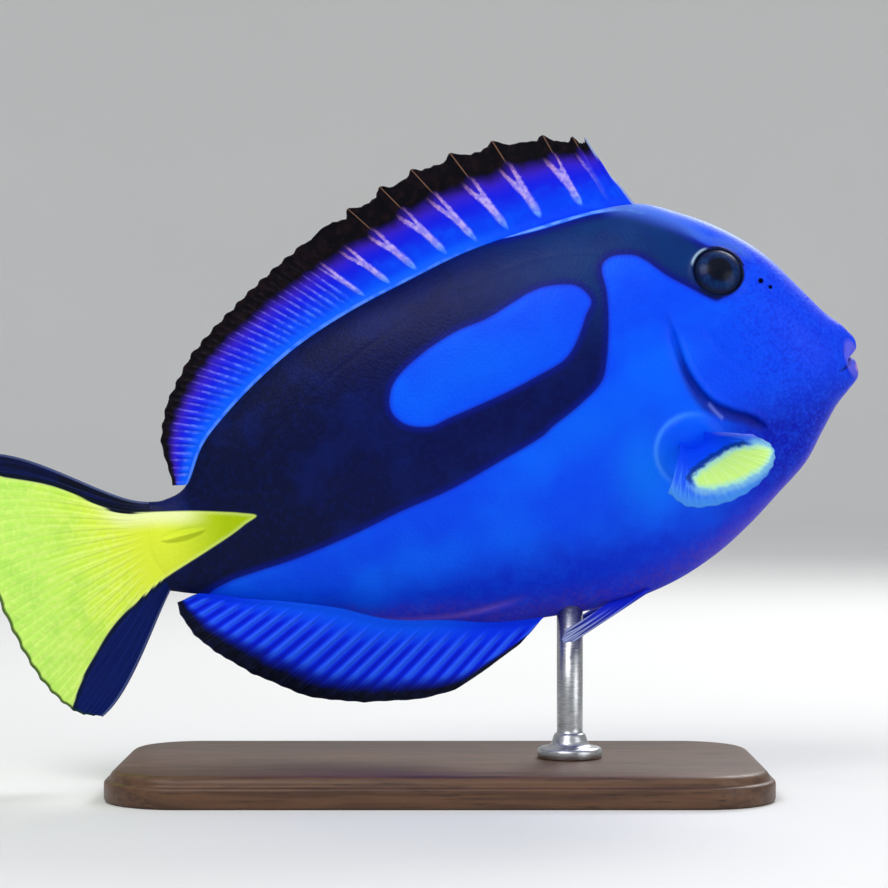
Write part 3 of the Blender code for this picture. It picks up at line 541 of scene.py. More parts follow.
def skin_material():
    paint = Paint("tang_skin", rough=0.42, coat=0.025, coat_rough=0.25, shine=0.075)
    over, mottle, values = paint.over, paint.mottle, paint.values
    back, up, across, black, yellow, eye = values("back", "up", "across", "black", "yellow", "eye")

    # Blue of the body, deeper on the face, darkened towards the belly with painted shade, and violet on the
    # belly
    bright, crease = values("bright", "crease")
    paint.finish = BLUE
    over(LIGHT_BLUE, mottle(0.026, 0.42, 0.68))
    over((0, 122, 252), bright)
    over((8, 54, 226), step(back, 34.0, 6.0) * 0.7)
    over((0, 16, 170), step(up, 3.0, -13.0) * step(back, 47.0, 30.0) * 0.96)
    over((24, 80, 246), mottle(0.0009, 0.50, 0.62, 3.0) * step(back, 46.0, 14.0) * 0.40)
    over((2, 34, 206), mottle(0.0010, 0.49, 0.60, 3.0) * step(back, 42.0, 20.0) * 0.45)
    belly = up + paint.noise(0.012) * 12.0 - 6.0
    # Painted shade: the flank darkens towards the belly
    over((2, 38, 204), step(belly, -20.0, -34.0) * 0.85)
    under = step(across, 0.62, 0.30) * step(belly, -24.0, -36.0)
    over((70, 54, 186), under * (mottle(0.0011, 0.42, 0.62, 3.0) * 0.5 + 0.35))
    over(LIGHT_BLUE, mottle(0.0035, 0.40, 0.75, 3.0) * 0.16)
    over((112, 84, 206), crease * 0.65)

    # Painted shade in a dark band behind the gill cover, a painted highlight (glint) in that band, a pale arc
    # on the pad painted as a highlight, and painted shade in the slit at the mouth's corner
    shade, glint, rim_highlight, gape = values("shade", "glint", "rim_highlight", "gape")
    over((0, 16, 136), shade * 0.80)
    over((116, 140, 236), glint * 0.6)
    over((64, 146, 255), rim_highlight * 0.7)
    over((2, 10, 96), gape * 0.85)

    # Pale forehead, a painted highlight along the profile, and lilac throat, then the rim of the black mark
    # and the dorsal fin's base line
    profile = step(across, 0.46, 0.08) * step(back, 56.0, 50.0) * step(back, 2.0, 8.0)
    # Painted highlight along the top of the head's profile
    over((120, 152, 228), profile * step(up, -2.0, 6.0) * 0.85)
    over((92, 74, 190), profile * step(up, 2.0, -6.0) * 0.55)
    over((14, 40, 206), step(black, -1.2, -0.1) * step(up, 52.5, 50.0) * 0.5)
    base_line = band(black, -0.75, -0.30, 0.35) * step(up, 50.5, 52.0)
    over((116, 172, 255), base_line * (mottle(0.0028, 0.35, 0.6) * 0.55 + 0.35))

    ink = mix((2, 11, 70), (4, 12, 50), step(back, 105.0, 165.0))
    ink = mix(ink, (2, 30, 98), step(back, 110.0, 66.0) * step(up, 14.0, 34.0))
    nape = step(back, 92.0, 56.0) * step(up, 26.0, 38.0) * step(black, 0.3, 3.0)
    ink = mix(ink, (0, 45, 108), nape * mottle(0.010, 0.2, 0.6))
    ink = mix(ink, (6, 24, 96), mottle(0.016, 0.5, 0.7) * 0.5)
    ink = mix(ink, (10, 34, 116), mottle(0.0016, 0.46, 0.66, 3.0) * step(black, 0.5, 2.5) * 0.16)
    ink = mix((2, 18, 120), ink, step(black, 0.3, 2.4))
    # The dark mark ends sharply everywhere but along the nape, where it fades into the pale ridge, a painted
    # highlight along the top edge
    fading = step(across, 0.66, 0.50) * step(back, 56.0, 48.0)
    # Painted highlight on the nape's ridge, near the top edge
    over((76, 118, 214), fading * step(black, -4.5, -0.5) * 0.7)
    sharp = step(black, -0.3, 0.35)
    over(ink, sharp + fading * (step(black, -2.2, 3.0) * 0.96 - sharp))
    over(sunny(back, up, yellow), step(yellow, -0.15, 0.35))

    lips, lip_tip, throat, eye_rim_highlight, pit = values("lips", "lip_tip", "throat", "eye_rim_highlight", "pit")
    over((96, 96, 214), lips * 0.75)
    over((196, 150, 190), lip_tip * 0.85)
    over((14, 12, 52), throat)
    over((1, 14, 52), step(eye, 7.15, 6.65))
    # Painted highlight: a pale crescent on the rear upper rim of each eye
    over((168, 200, 226), eye_rim_highlight * 0.9)
    # Painted shade in the nostril pits
    over((2, 5, 16), pit)
    grains = paint.add("TexVoronoi", {"Vector": paint.place, "Scale": 1 / 0.00075}, "Distance")
    paint.bump(grains, 0.00006)
    paint.bump(paint.noise(0.0030), 0.00004)
    return paint.done(paint.noise(0.004) * 0.14 + 0.34)


# Width of the band of painted shade behind the gill cover, from its foot to its top
SHADE_UP = (-10.0, -2.0, 6.0, 12.0, 20.0)
SHADE_WIDTH = (3.2, 3.9, 2.8, 1.7, 1.0)
# Brighter patches of the flank: back, up, half length, half height and share
BRIGHT_PATCHES = ((61.0, -14.0, 8.0, 12.0, 0.7), (74.0, 2.0, 16.0, 8.0, 0.35), (96.0, 24.0, 22.0, 8.0, 0.3))
# Spots on the mouth: middle back and up, half length and half height
LIPS = (1.0, 0.6, 2.2, 5.2)
LIP_TIP = (-1.0, -2.0, 2.0, 1.7)
THROAT = (4.0, 1.0, 3.0, 1.1)
MOUTH_END = 6.0
# Tops and bottoms of the body, from the station behind the lips to the last
PROFILE = spline(STATIONS, np.linspace(6, LAST_STATION, 800))[:, :4].T


def skin_values(points):
    """What the skin's material reads at each point of the fish's own frame."""
    back, side, up = points.T * ((-1,), (1,), (1,))
    gill = from_line(back, up, GILL)[0]
    top = np.interp(back, *PROFILE[:2])
    low = np.interp(back, *PROFILE[2:])
    rise = np.clip((up - (top + low) / 2) / np.maximum((top - low) / 2, 0.01), -1, 1)
    # Painted shade in the nostril pits, darkest at their middles
    pit = np.zeros_like(back)
    for *place, radius in NOSTRILS:
        pit = np.maximum(pit, ease(1.1, 0.6, spot(back, up, *place, radius, radius)))
    bright = np.zeros_like(back)
    for *place, share in BRIGHT_PATCHES:
        bright = np.maximum(bright, share * hump(spot(back, up, *place), 1.0))
    # Painted shade in a band behind the edge of the gill cover
    wide = np.interp(up, SHADE_UP, SHADE_WIDTH)
    shade = ease(-0.3, 0.5, gill) * ease(wide + 0.7, wide - 1.4, gill)
    pad_back, pad_up = back - PAD_BACK, up - PAD_UP
    from_pad = np.hypot(pad_back, pad_up)
    facing = (0.8 * pad_back + 0.6 * pad_up) / np.maximum(from_pad, 1.0)
    crease, along = from_line(back, up, CREASE)
    gape, gape_along = from_line(back, up, GAPE)
    return {
        "back": back,
        "up": up,
        "across": np.sqrt(1 - rise**2),
        "black": np.minimum(inside(back, up, BLACK_LOOP), -inside(back, up, OVAL_LOOP)),
        "yellow": inside(back, up, YELLOW_LOOP),
        "bright": bright,
        "shade": shade * ease(-13.0, -8.5, up) * ease(21.0, 7.0, up),
        "glint": hump(from_line(back, up, GLINT)[0], 0.42),
        # Painted highlight along the rear upper rim of the pectoral's pad
        "rim_highlight": hump(from_pad - PAD_RADIUS + 0.4, 0.6) * ease(-0.3, 0.9, facing) * (gill > 0),
        # Painted shade in the slit at the mouth's corner
        "gape": hump(gape, 0.34) * ease(0.0, 0.15, gape_along) * ease(1.0, 0.6, gape_along),
        "crease": hump(crease, 0.8) * ease(0.30, 0.60, along) * ease(1.0, 0.8, along),
        "lips": ease(1.15, 0.75, spot(back, up, *LIPS)) * (back < MOUTH_END),
        "lip_tip": ease(1.1, 0.5, spot(back, up, *LIP_TIP)) * (back < MOUTH_END),
        "throat": ease(1.0, 0.7, spot(back, up, *THROAT)) * (np.abs(side) < 3.2),
        "pit": pit * (np.abs(side) > 3.0),
    }


def eye_values(points, matrices):
    """Distance from the nearer eye's middle, and the pale crescent on the rear of its rim, a painted
    highlight.
    """
    eye, eye_rim_highlight = np.full(len(points), EYE_FAR), np.zeros(len(points))
    behind, above = -points[:, 0] - EYE_BACK, points[:, 2] - EYE_UP
    for matrix in matrices:
        x, y, z = moved(points, matrix.inverted()).T
        away = np.hypot(x, y)
        near = (np.abs(z) < 8) & (away < 12)
        in_bowl = (z < -0.15) & (away < 7.3)
        facing = (0.55 * behind + 0.835 * above) / np.maximum(away, 1.0)
        # Painted highlight on the rim, on its side facing back and up
        rim_highlight = hump(away - 7.1, 0.28) * ease(0.84, 0.96, facing) * (z > -0.15)
        eye = np.where(near, away - 3 * in_bowl, eye)
        eye_rim_highlight = np.where(near, rim_highlight, eye_rim_highlight)
    return {"eye": eye, "eye_rim_highlight": eye_rim_highlight}


# Rim and socket of an eye: radius and height of each ring. The first ones lie on the skin
ORBIT_RINGS = (
    (8.9, 0.00), (8.5, 0.02), (8.1, 0.07), (7.75, 0.15), (7.45, 0.26), (7.2, 0.35), (6.95, 0.40),
    (6.75, 0.38), (6.55, 0.28), (6.38, 0.12), (6.27, -0.05), (6.30, -0.25), (6.65, -0.70),
    (7.05, -1.30), (7.15, -1.95), (6.95, -2.90), (6.0, -4.20), (4.4, -5.20), (2.2, -5.85),
)
ORBIT_ON_SKIN = 11
ORBIT_CUT = 9.3
ORBIT_REACH = 6.0
ORBIT_POINTS = 144
EYE_FAR = 20.0


def eye_matrix(tree, side):
    """A frame on the skin at the middle of an eye, its z square to the skin there."""
    origin = Vector((-EYE_BACK, side * OUTSIDE, EYE_UP))
    hit, normal, _, _ = tree.ray_cast(origin, Vector((0.0, -side, 0.0)))
    turn = normal.to_track_quat("Z", "Y").to_matrix().to_4x4()
    return Matrix.Translation(hit) @ turn


def add_orbit(work, tree, matrix):
    """Cuts the skin open round an eye, and sews in a rim and a bowl of even rings."""
    flat = matrix.inverted()
    doomed = []
    for vert in work.verts:
        place = flat @ vert.co
        if abs(place.z) < ORBIT_REACH and math.hypot(place.x, place.y) < ORBIT_CUT:
            doomed.append(vert)
    near = dict.fromkeys(e for v in doomed for f in v.link_faces for e in f.edges)
    bmesh.ops.delete(work, geom=doomed, context="VERTS")
    border = [e for e in near if e.is_valid and e.is_boundary]
    inward = -(matrix.to_3x3() @ Vector((0, 0, 1)))
    rings = []
    for radius, height in ORBIT_RINGS:
        ring = []
        for base in moved(turned([(radius, 0.0)], ORBIT_POINTS)[0], matrix):
            base = Vector(base)
            if len(rings) < ORBIT_ON_SKIN:
                base = tree.ray_cast(base - inward * 10, inward)[0]
            ring.append(work.verts.new(base - inward * height))
        rings.append(ring)
    turns = [(i, (i + 1) % ORBIT_POINTS) for i in range(ORBIT_POINTS)]
    for outer, inner in zip(rings[:-1], rings[1:]):
        for i, j in turns:
            work.faces.new((outer[i], outer[j], inner[j], inner[i]))
    work.faces.new(rings[-1])
    seam = [work.edges.get((rings[0][i], rings[0][j])) for i, j in turns]
    bmesh.ops.triangle_fill(work, edges=border + seam, use_beauty=True, normal=-inward)


def make_skin(material):
    """One skin for head, trunk and tail stem. Returns its surface and the frames of the eyes."""
    stations = ring_stations()
    angles = -math.pi / 2 + TURN * np.arange(RING_POINTS) / RING_POINTS
    points = skin_points(stations, angles).reshape(-1, 3).tolist()
    faces = capped(len(stations), RING_POINTS)
    tree = BVHTree.FromPolygons(points, faces[:-2])
    matrices = [eye_matrix(tree, side) for side, _ in SIDES]
    mesh = bpy.data.meshes.new("skin")
    mesh.from_pydata(points, [], faces)
    work = bmesh.new()
    work.from_mesh(mesh)
    for matrix in matrices:
        add_orbit(work, tree, matrix)
    work.to_mesh(mesh)
    work.free()
    points = np.array([v.co for v in mesh.vertices])
    faces = [tuple(p.vertices) for p in mesh.polygons]
    bpy.data.meshes.remove(mesh)
    values = skin_values(points) | eye_values(points, matrices)
    new_piece("skin", placed(points), faces, values, material, ("head", "trunk", "tail_stem"))
    return tree, matrices


# Fins: half thickness of the membrane and of a ray, each at the root and at the edge
WEB = (0.50, 0.15)
RAY = (0.95, 0.26)
TAIL_WEB = (0.80, 0.15)
TAIL_RAY = (1.00, 0.26)
SIDE_WEB = (0.60, 0.13)
SIDE_RAY = (0.60, 0.22)


def ray_columns(count, fine):
    """Where the columns of a fin lie, in rays from the first, and how far each is from a ray."""
    half = 0.5 * np.linspace(0, 1, fine + 1) ** 1.5
    between = np.concatenate((half[:-1], 1 - half[::-1][:-1]))
    rays = np.append((np.arange(count - 1)[:, None] + between[None]).reshape(-1), count - 1)
    return rays, np.abs(rays - np.round(rays))[:, None]


def branch_distance(offset, row, first, second, spread, second_spread):
    """Distance from the nearest branch of a ray that forks twice, in ray spacings."""
    away = np.abs(offset - spread * ease(first, 1.0, row))
    return np.abs(away - second_spread * ease(second, 1.0, row))


def ribbed(part, ridge, web, ray):
    """Half thickness from the root, where part is 0, to the edge, and from the membrane to a ray."""
    thin = part**0.7
    return blend(blend(*web, thin), blend(*ray, thin), ridge)


def fin_piece(name, flat, side, half, values, material, replaces):
    """A closed sheet from columns of points along the rays: back and up, side and half thickness."""
    grid = np.stack((-flat[..., 0], side, flat[..., 1]), axis=-1)
    columns, rows = grid.shape[:2]
    normals = np.cross(np.gradient(grid, axis=0), np.gradient(grid, axis=1))
    normals *= half[..., None] / np.maximum(np.linalg.norm(normals, axis=2, keepdims=True), 1e-6)
    total = columns * rows
    points = np.concatenate(((grid + normals).reshape(-1, 3), (grid - normals).reshape(-1, 3)))
    index = np.arange(total).reshape(columns, rows)
    border = np.concatenate((index[:, 0], index[-1, 1:], index[-2::-1, -1], index[0, -2:0:-1]))
    after = np.roll(border, -1)
    rim = np.stack((border, after, after + total, border + total), axis=-1)
    faces = (grid_faces(columns, rows), grid_faces(columns, rows, total)[:, ::-1], rim)
    values = {key: np.tile(np.broadcast_to(v, (columns, rows)).reshape(-1), 2) for key, v in values.items()}
    new_piece(name, placed(points), np.concatenate(faces).tolist(), values, material, replaces)


# Dorsal and anal fins: in each row of rays, the place along the fin's root from 0 to 1, the angle of
# the ray over the axis in degrees, and its length. In border, places and the share of the ray there
# at which the blue gives way to the dark margin
SPINE_PLACES = (0.2, 2.6, 6.2, 13.3, 24.5, 33.5, 42.1, 50.6, 59.5)
FIRST_SOFT_PLACES = (67.3, 74.7)
DORSAL_SOFT_RAYS = 18
DORSAL_LAST_PLACE = 0.998
DORSAL = {
    "name": "dorsal_fin",
    "first": 12.0,
    "last": 22.0,
    "low": False,
    "notch": 1.7,
    "wave": 1.4,
    "fork": 0.25,
    "border": ((0.0, 0.04, 0.12, 0.25, 0.5, 0.75, 1.0), (0.90, 0.82, 0.73, 0.68, 0.67, 0.76, 0.84)),
    "rays": (
        (0.00, 64.0, 6.4), (0.018, 74.0, 20.5), (0.043, 76.0, 21.0), (0.092, 76.5, 23.1),
        (0.169, 73.0, 25.7), (0.231, 68.0, 26.8), (0.290, 62.5, 27.0), (0.349, 60.0, 26.3),
        (0.411, 56.5, 25.4), (0.55, 49.0, 22.4), (0.66, 42.0, 20.2), (0.76, 34.0, 19.2),
        (0.85, 26.0, 15.8), (0.92, 19.0, 11.0), (1.00, 12.0, 3.4),
    ),
}
ANAL_RAY_COUNT = 22
ANAL = {
    "name": "anal_fin",
    "first": 15.28,
    "last": 22.70,
    "low": True,
    "notch": 0.5,
    "wave": -1.4,
    "fork": 0.16,
    "border": ((0.0, 0.1, 0.5, 1.0), (0.80, 0.86, 0.85, 0.78)),
    "rays": (
        (0.00, 33.0, 9.0), (0.035, 33.0, 17.0), (0.075, 33.0, 24.0), (0.16, 33.0, 26.8),
        (0.29, 31.0, 29.8), (0.45, 28.0, 29.3), (0.61, 25.0, 27.2), (0.75, 22.0, 22.1),
        (0.86, 19.0, 16.5), (0.95, 14.0, 10.5), (1.00, 8.0, 5.8),
    ),
}
FIN_ROWS = 44
FIN_FINE = 6
ROOT_SUNK = 1.6
ROOT_FLARE = 0.4
NOTCH_LENGTH = 20.0
NOTCH_SHARE = (0.35, 1.0)
NOTCH_REACH = (0.48, 0.26)
FRINGE = 0.25
WAVE_TURNS = 1.5
WAVE_START = 0.6
RIPPLE = 0.22
LEADING_LONG = 155.0
LEADING_SLANT = 0.18


def root_curve(first, last, low):
    """Points along the back or belly between two stations, and how far along each lies."""
    keys = spline(STATIONS, np.linspace(first, last, 400))
    line = keys[:, 2:4] if low else keys[:, 0:2]
    steps = np.linalg.norm(np.diff(line, axis=0), axis=1)
    return line, np.concatenate(([0.0], np.cumsum(steps)))


def median_fin(places, spines, material, name, first, last, low, notch, wave, fork, border, rays):
    """The dorsal or anal fin, upright in the middle of the body, its first rays spines."""
    line, lengths = root_curve(first, last, low)
    total = lengths[-1]
    number, offset = ray_columns(len(places), FIN_FINE)
    place = np.interp(number, np.arange(len(places)), places)
    root = np.stack([np.interp(place * total, lengths, line[:, k]) for k in (0, 1)], axis=-1)
    ray_places, angles, ray_lengths = np.array(rays).T
    angle = np.radians(np.interp(place, ray_places, angles) * (-1 if low else 1))
    heading = np.stack((np.cos(angle), np.sin(angle)), axis=-1)[:, None]
    spacing = np.interp(number, np.arange(len(places) - 1) + 0.5, np.diff(places) * total)[:, None]
    number, place = number[:, None], place[:, None]
    spiny = ease(spines - 0.4, spines - 0.6, number) * (spines > 0)

    # The edge dips between the rays, deeply between spines, and is a little uneven
    length = np.interp(place, ray_places, ray_lengths)
    web = ease(0.0, blend(*NOTCH_REACH, spiny), offset) * blend(*NOTCH_SHARE, spiny)
    fringe = 1 + FRINGE * np.sin(number * 37.0) * np.sin(number * 11.0 + 1.0)
    length = length - notch * np.minimum(1.0, length / NOTCH_LENGTH) * web * fringe
    row = np.linspace(0, 1, FIN_ROWS)[None] ** 0.9
    run = (length + ROOT_SUNK) * row - ROOT_SUNK
    flat = root[:, None] + heading * run[..., None]
    part = np.clip(run / length, 0, 1)
    side = wave * part**2 * np.sin(TURN * place * WAVE_TURNS + WAVE_START)
    side = side + RIPPLE * part * np.sin(TURN * offset) * (1 - part)
    forked = branch_distance(offset, part, 0.45, 0.72, fork, fork * 0.45)
    away = np.where(spiny > 0.5, offset, forked) * spacing
    ridge = hump(away, 0.40 - 0.22 * part) * ease(0.04, 0.22, part)
    half = ribbed(part, ridge, WEB, RAY) + ROOT_FLARE * hump(np.maximum(run, 0), 1.4)
    values = {
        "part": part,
        "from_root": run,
        "from_edge": length - run,
        "ridge": ridge,
        "offset": offset,
        "turn": np.sin(TURN * number),
        "spacing": spacing,
        "place": place,
        "spiny": spiny,
        "border": np.interp(place, *border),
    }
    fin_piece(f"{name}_web", flat, side, half, values, material, (name,))


def dorsal_material():
    """Blue membrane with a pale forked streak on each ray, and an inky margin with hair-fine spines."""
    paint = Paint("tang_dorsal", rough=0.5, coat=0.02, coat_rough=0.3, shine=0.06)
    over, mottle = paint.over, paint.mottle
    part, ridge, spiny, turn, border = paint.values("part", "ridge", "spiny", "turn", "border")
    offset, spacing, place = paint.values("offset", "spacing", "place")
    from_root, from_edge = paint.values("from_root", "from_edge")
    height = part / border + paint.noise(0.0030) * 0.10 - 0.05

    paint.finish = mix((0, 62, 240), (14, 28, 222), step(height, 0.25, 0.65))
    over((62, 30, 176), step(height, 0.60, 0.95) * 0.8)
    over((0, 84, 250), mottle(0.004, 0.45, 0.7) * step(height, 0.7, 0.3) * 0.5)
    over((0, 98, 255), step(from_root, 4.5, 1.0) * step(place, 0.16, 0.34) * 0.8)
    over((22, 8, 72), step(height, 0.80, 1.0) * 0.75)

    # Each streak starts narrow over the base, fills out, and frays into a rear branch below the margin.
    # On the soft rays, which stand close together, it is a faint pair of strokes
    fork = step(height, 0.34, 1.05) * (step(turn, -0.15, 0.35) * 0.17 + 0.05)
    pair = step(height, -0.4, 0.3) * 0.25
    close = step(spacing, 5.6, 3.6)
    away = abs(offset - (fork + close * (pair - fork))) * spacing
    taper = step(height, -0.04, 0.30) * (height * -0.9 + 1.35)
    edge = away / paint.maths("MAXIMUM", (spacing * 0.088 + 0.10) * taper, 0.04)
    edge = edge + step(height, 0.2, 0.8) * 1.6 * (paint.noise(0.0008, 3.0) - 0.5)
    drawn = step(edge, 1.35, 0.45) * step(height, 0.06, 0.18) * step(height, 1.14, 0.78)
    drawn = drawn * (mottle(0.0012, 0.38, 0.62, 3.0) * 0.45 + 0.5) * step(place, 0.035, 0.07)
    faint = (mottle(0.0022, 0.38, 0.56) * 0.75 + 0.25) * step(height, 0.04, 0.40)
    drawn = drawn * (close * (faint - 1.0) + 1.0)
    front = mix((96, 156, 255), (190, 172, 244), step(height, 0.12, 0.45))
    front = mix(front, (176, 128, 180), step(height, 0.62, 1.0))
    rear = mix((44, 116, 255), (98, 88, 226), step(height, 0.3, 0.9))
    over(mix(rear, front, step(spacing, 3.2, 6.5)), drawn)

    margin = mix((2, 2, 9), (20, 10, 16), mottle(0.002, 0.4, 0.7))
    hair = step(ridge, 0.45, 0.95) * step(height, 0.9, 1.15)
    margin = mix(margin, mix((34, 24, 34), (142, 106, 84), spiny), hair * 0.7)
    over(margin, step(height, 0.92, 1.08))
    over((52, 44, 58), step(from_edge, 0.30, 0.1) * 0.35)
    leading = paint.maths("MINIMUM", place * LEADING_LONG, from_edge * LEADING_SLANT)
    over((150, 170, 214), step(leading, 1.35, 0.80) * step(place, 0.0215, 0.0180) * 0.85)
    base = step(from_root, 0.7, 0.4) * step(place, 0.26, 0.40)
    over((110, 166, 255), base * (mottle(0.0028, 0.35, 0.6) * 0.35 + 0.12))
    paint.bump(paint.noise(0.0014, 3.0), 0.00005)
    return paint.done()


def anal_material():
    """Deep blue with a soft lighter band on each ray, which runs out in a narrow dark margin."""
    paint = Paint("tang_anal", rough=0.5, coat=0.02, coat_rough=0.3, shine=0.06)
    over = paint.over
    part, from_edge, offset, place, border = paint.values("part", "from_edge", "offset", "place", "border")
    height = part / border + paint.noise(0.0040) * 0.08 - 0.04
    paint.finish = mix((0, 52, 246), (2, 34, 232), step(height, 0.1, 0.5))
    over((6, 90, 252), step(height, 0.40, 0.08) * step(place, 0.12, 0.34) * step(place, 0.95, 0.7) * 0.8)
    over((44, 104, 255), step(offset, 0.38, 0.08) * step(height, 0.10, 0.36) * step(height, 1.0, 0.80) * 0.72)
    over((0, 20, 172), step(offset, 0.34, 0.46) * step(height, 0.24, 0.5) * 0.55)
    over((2, 12, 96), step(height, 0.76, 0.98) * 0.8)
    over(mix((2, 5, 22), (10, 16, 44), paint.mottle(0.002, 0.4, 0.7)), step(height, 0.92, 1.06))
    over((74, 86, 130), step(from_edge, 0.35, 0.1) * 0.4)
    paint.bump(paint.noise(0.0014, 3.0), 0.00005)
    return paint.done()


def make_dorsal():
    total = root_curve(DORSAL["first"], DORSAL["last"], False)[1][-1]
    places = [p / total for p in SPINE_PLACES + FIRST_SOFT_PLACES]
    places += list(np.linspace(places[-1], DORSAL_LAST_PLACE, DORSAL_SOFT_RAYS + 1)[1:])
    median_fin(places, len(SPINE_PLACES), dorsal_material(), **DORSAL)


def make_anal():
    median_fin(np.linspace(0, 1, ANAL_RAY_COUNT), 0, anal_material(), **ANAL)


# Tail fin: both margins as Bezier curves, and the trailing edge from the upper tip to the lower
TAIL_UPPER = ((189.0, 12.2), (199.0, 14.3), (212.2, 31.4), (226.4, 35.4))
TAIL_LOWER = ((189.0, -11.8), (196.8, -20.0), (206.2, -35.5), (215.2, -39.4))
TAIL_TRAILING = (
    (226.4, 35.4), (231.8, 20.0), (234.2, 2.0), (232.0, -14.2), (228.0, -27.2),
    (222.0, -36.2), (215.2, -39.4),
)
TAIL_RAY_COUNT = 18
TAIL_FINE = 9
TAIL_ROWS = 76
TAIL_SUNK = 0.06
TAIL_NOTCH = 0.006
TAIL_FLESH = 2.1
TAIL_LONG = 38.0


def tail_material():
    paint = Paint("tang_tail", rough=0.5, coat=0.02, coat_rough=0.3, shine=0.08)
    over, mottle = paint.over, paint.mottle
    yellow, ridge, part, back, up = paint.values("yellow", "ridge", "part", "back", "up")
    from_edge, margin = paint.values("from_edge", "margin")
    dark = mix((2, 22, 88), (3, 9, 30), step(up, -8.0, 8.0))
    dark = mix(dark, (4, 18, 80), mottle(0.009, 0.4, 0.65) * 0.4)
    dark = mix(dark, (16, 34, 112), ridge * 0.3)
    sun = mix(sunny(back, up, yellow), (236, 250, 150), ridge * 0.22)
    sun = mix(sun, (158, 222, 84), mottle(0.006, 0.45, 0.7) * step(part, 0.2, 0.6) * 0.35)
    sun = mix(sun, (232, 250, 140), mottle(0.0014, 0.48, 0.62, 3.0) * step(part, 0.05, 0.4) * 0.30)
    paint.finish = mix(dark, sun, step(yellow, -0.2, 0.4))
    over((3, 18, 24), band(yellow, -0.8, -0.15, 0.3) * 0.7)
    over((96, 112, 160), step(margin, 0.7, 0.2) * 0.5)
    over((16, 52, 30), step(from_edge, 0.75, 0.35) * step(margin, 1.0, 3.0) * 0.85)
    paint.bump(paint.noise(0.0014, 3.0), 0.00005)
    return paint.done()


def make_tail():
    """The tail fin: rays fan out between two curved margins to a rounded trailing edge."""
    last = TAIL_RAY_COUNT - 1
    number, offset = ray_columns(TAIL_RAY_COUNT, TAIL_FINE)
    part = (number / last)[:, None]
    share = part[..., None]
    row = np.linspace(-TAIL_SUNK, 1, TAIL_ROWS)[None]
    along = np.clip(row, 0, 1)
    reach = row * (1 - TAIL_NOTCH * ease(0.0, 0.45, offset) * along)
    ends = blend(bezier(TAIL_UPPER, [[1.0]]), bezier(TAIL_LOWER, [[1.0]]), share)
    flat = blend(bezier(TAIL_UPPER, reach), bezier(TAIL_LOWER, reach), share)
    bulge = spline(TAIL_TRAILING, part * (len(TAIL_TRAILING) - 1)) - ends
    flat = flat + bulge * (np.clip(reach, 0, 1) ** 2)[..., None]
    flat[..., 1] *= 1 - 0.25 * ease(0.0, TAIL_SUNK, -row)
    span = np.linalg.norm(np.gradient(flat, number, axis=0), axis=-1)
    within = along + 0 * part
    away = branch_distance(offset, within, 0.12, 0.5, 0.25, 0.12) * span
    ridge = hump(away, 0.32) * ease(0.06, 0.45, within)
    back, up = flat[..., 0], flat[..., 1]
    values = {
        "part": within,
        "ridge": ridge,
        "yellow": inside(back, up, YELLOW_LOOP),
        "from_edge": (1 - row) * TAIL_LONG,
        "margin": np.minimum(part, 1 - part) * span * last,
        "back": back,
        "up": up,
    }
    side = 0.25 * np.sin(TURN * offset) * along
    flesh = TAIL_FLESH * ease(0.42, -0.02, within) * (1 - np.abs(2 * part - 1) ** 4)
    half = ribbed(within, ridge, TAIL_WEB, TAIL_RAY) + flesh
    fin_piece("caudal_fin_web", flat, side, half, values, tail_material(), ("caudal_fin",))


# Paired fins: root and free edge seen from the side, front ray first, and how far out the edge reaches
PECTORAL = {
    "root": ((44.0, -7.8), (45.0, -10.4), (47.4, -11.6), (49.9, -10.9), (51.2, -8.9)),
    "edge": (
        (35.7, -10.8), (32.2, -14.6), (32.8, -18.8), (37.8, -23.0), (46.0, -25.4), (54.8, -24.4),
        (58.8, -19.8),
    ),
    "reach": (25.8, 30.0, 31.0, 30.0, 27.0, 22.0, 17.0),
    "count": 15,
    "curl": 1.2,
}
PELVIC = {
    "root": ((66.8, -43.6), (72.5, -44.6), (78.5, -44.8)),
    "edge": ((90.6, -51.6), (93.5, -50.7), (91.5, -47.8)),
    "reach": (5.2, 5.2),
    "count": 4,
    "curl": 1.0,
    "root_side": 3.2,
}
SIDE_FINE = 6
SIDE_ROWS = 48
SIDE_NOTCH = 0.015
SIDE_SUNK = 1.2


def side_fin(kind, side, label, tree, material, root, edge, reach, count, curl, root_side=None):
    """A paired fin: rays fan from a short root line on the flank to a free edge."""
    number, offset = ray_columns(count, SIDE_FINE)
    part = number / (count - 1)
    reach = [(r,) for r in reach]
    start, end, far = (spline(keys, part * (len(keys) - 1)) for keys in (root, edge, reach))
    base = []
    for back, up in start:
        hit = tree.ray_cast(Vector((-back, side * OUTSIDE, up)), Vector((0.0, -side, 0.0)))[0]
        base.append(root_side or abs(hit.y))
    row = np.linspace(0, 1, SIDE_ROWS)[None]
    along = row * (1 - SIDE_NOTCH * ease(0.0, 0.5, offset) * row)
    flat = start[:, None] + (end - start)[:, None] * (along**curl)[..., None]
    out = np.array(base)[:, None] + far * np.sin(along * math.pi / 2) ** (1 / curl)
    out = side * (out - SIDE_SUNK * hump(along, 0.05))
    span = np.linalg.norm(np.gradient(np.dstack((flat, out)), number, axis=0), axis=-1)
    within = row + 0 * offset
    away = branch_distance(offset, within, 0.45, 0.75, 0.25, 0.11) * span
    ridge = hump(away, 0.22) * ease(0.15, 0.5, within)
    patch = inside(flat[..., 0], flat[..., 1], PATCH_LOOP)
    values = {"part": within, "ridge": ridge, "fan": part[:, None], "patch": patch}
    half = ribbed(within, ridge, SIDE_WEB, SIDE_RAY)
    replaces = (f"{kind}_fin_{label}",)
    fin_piece(f"{kind}_web_{label}", flat, out, half, values, material, replaces)


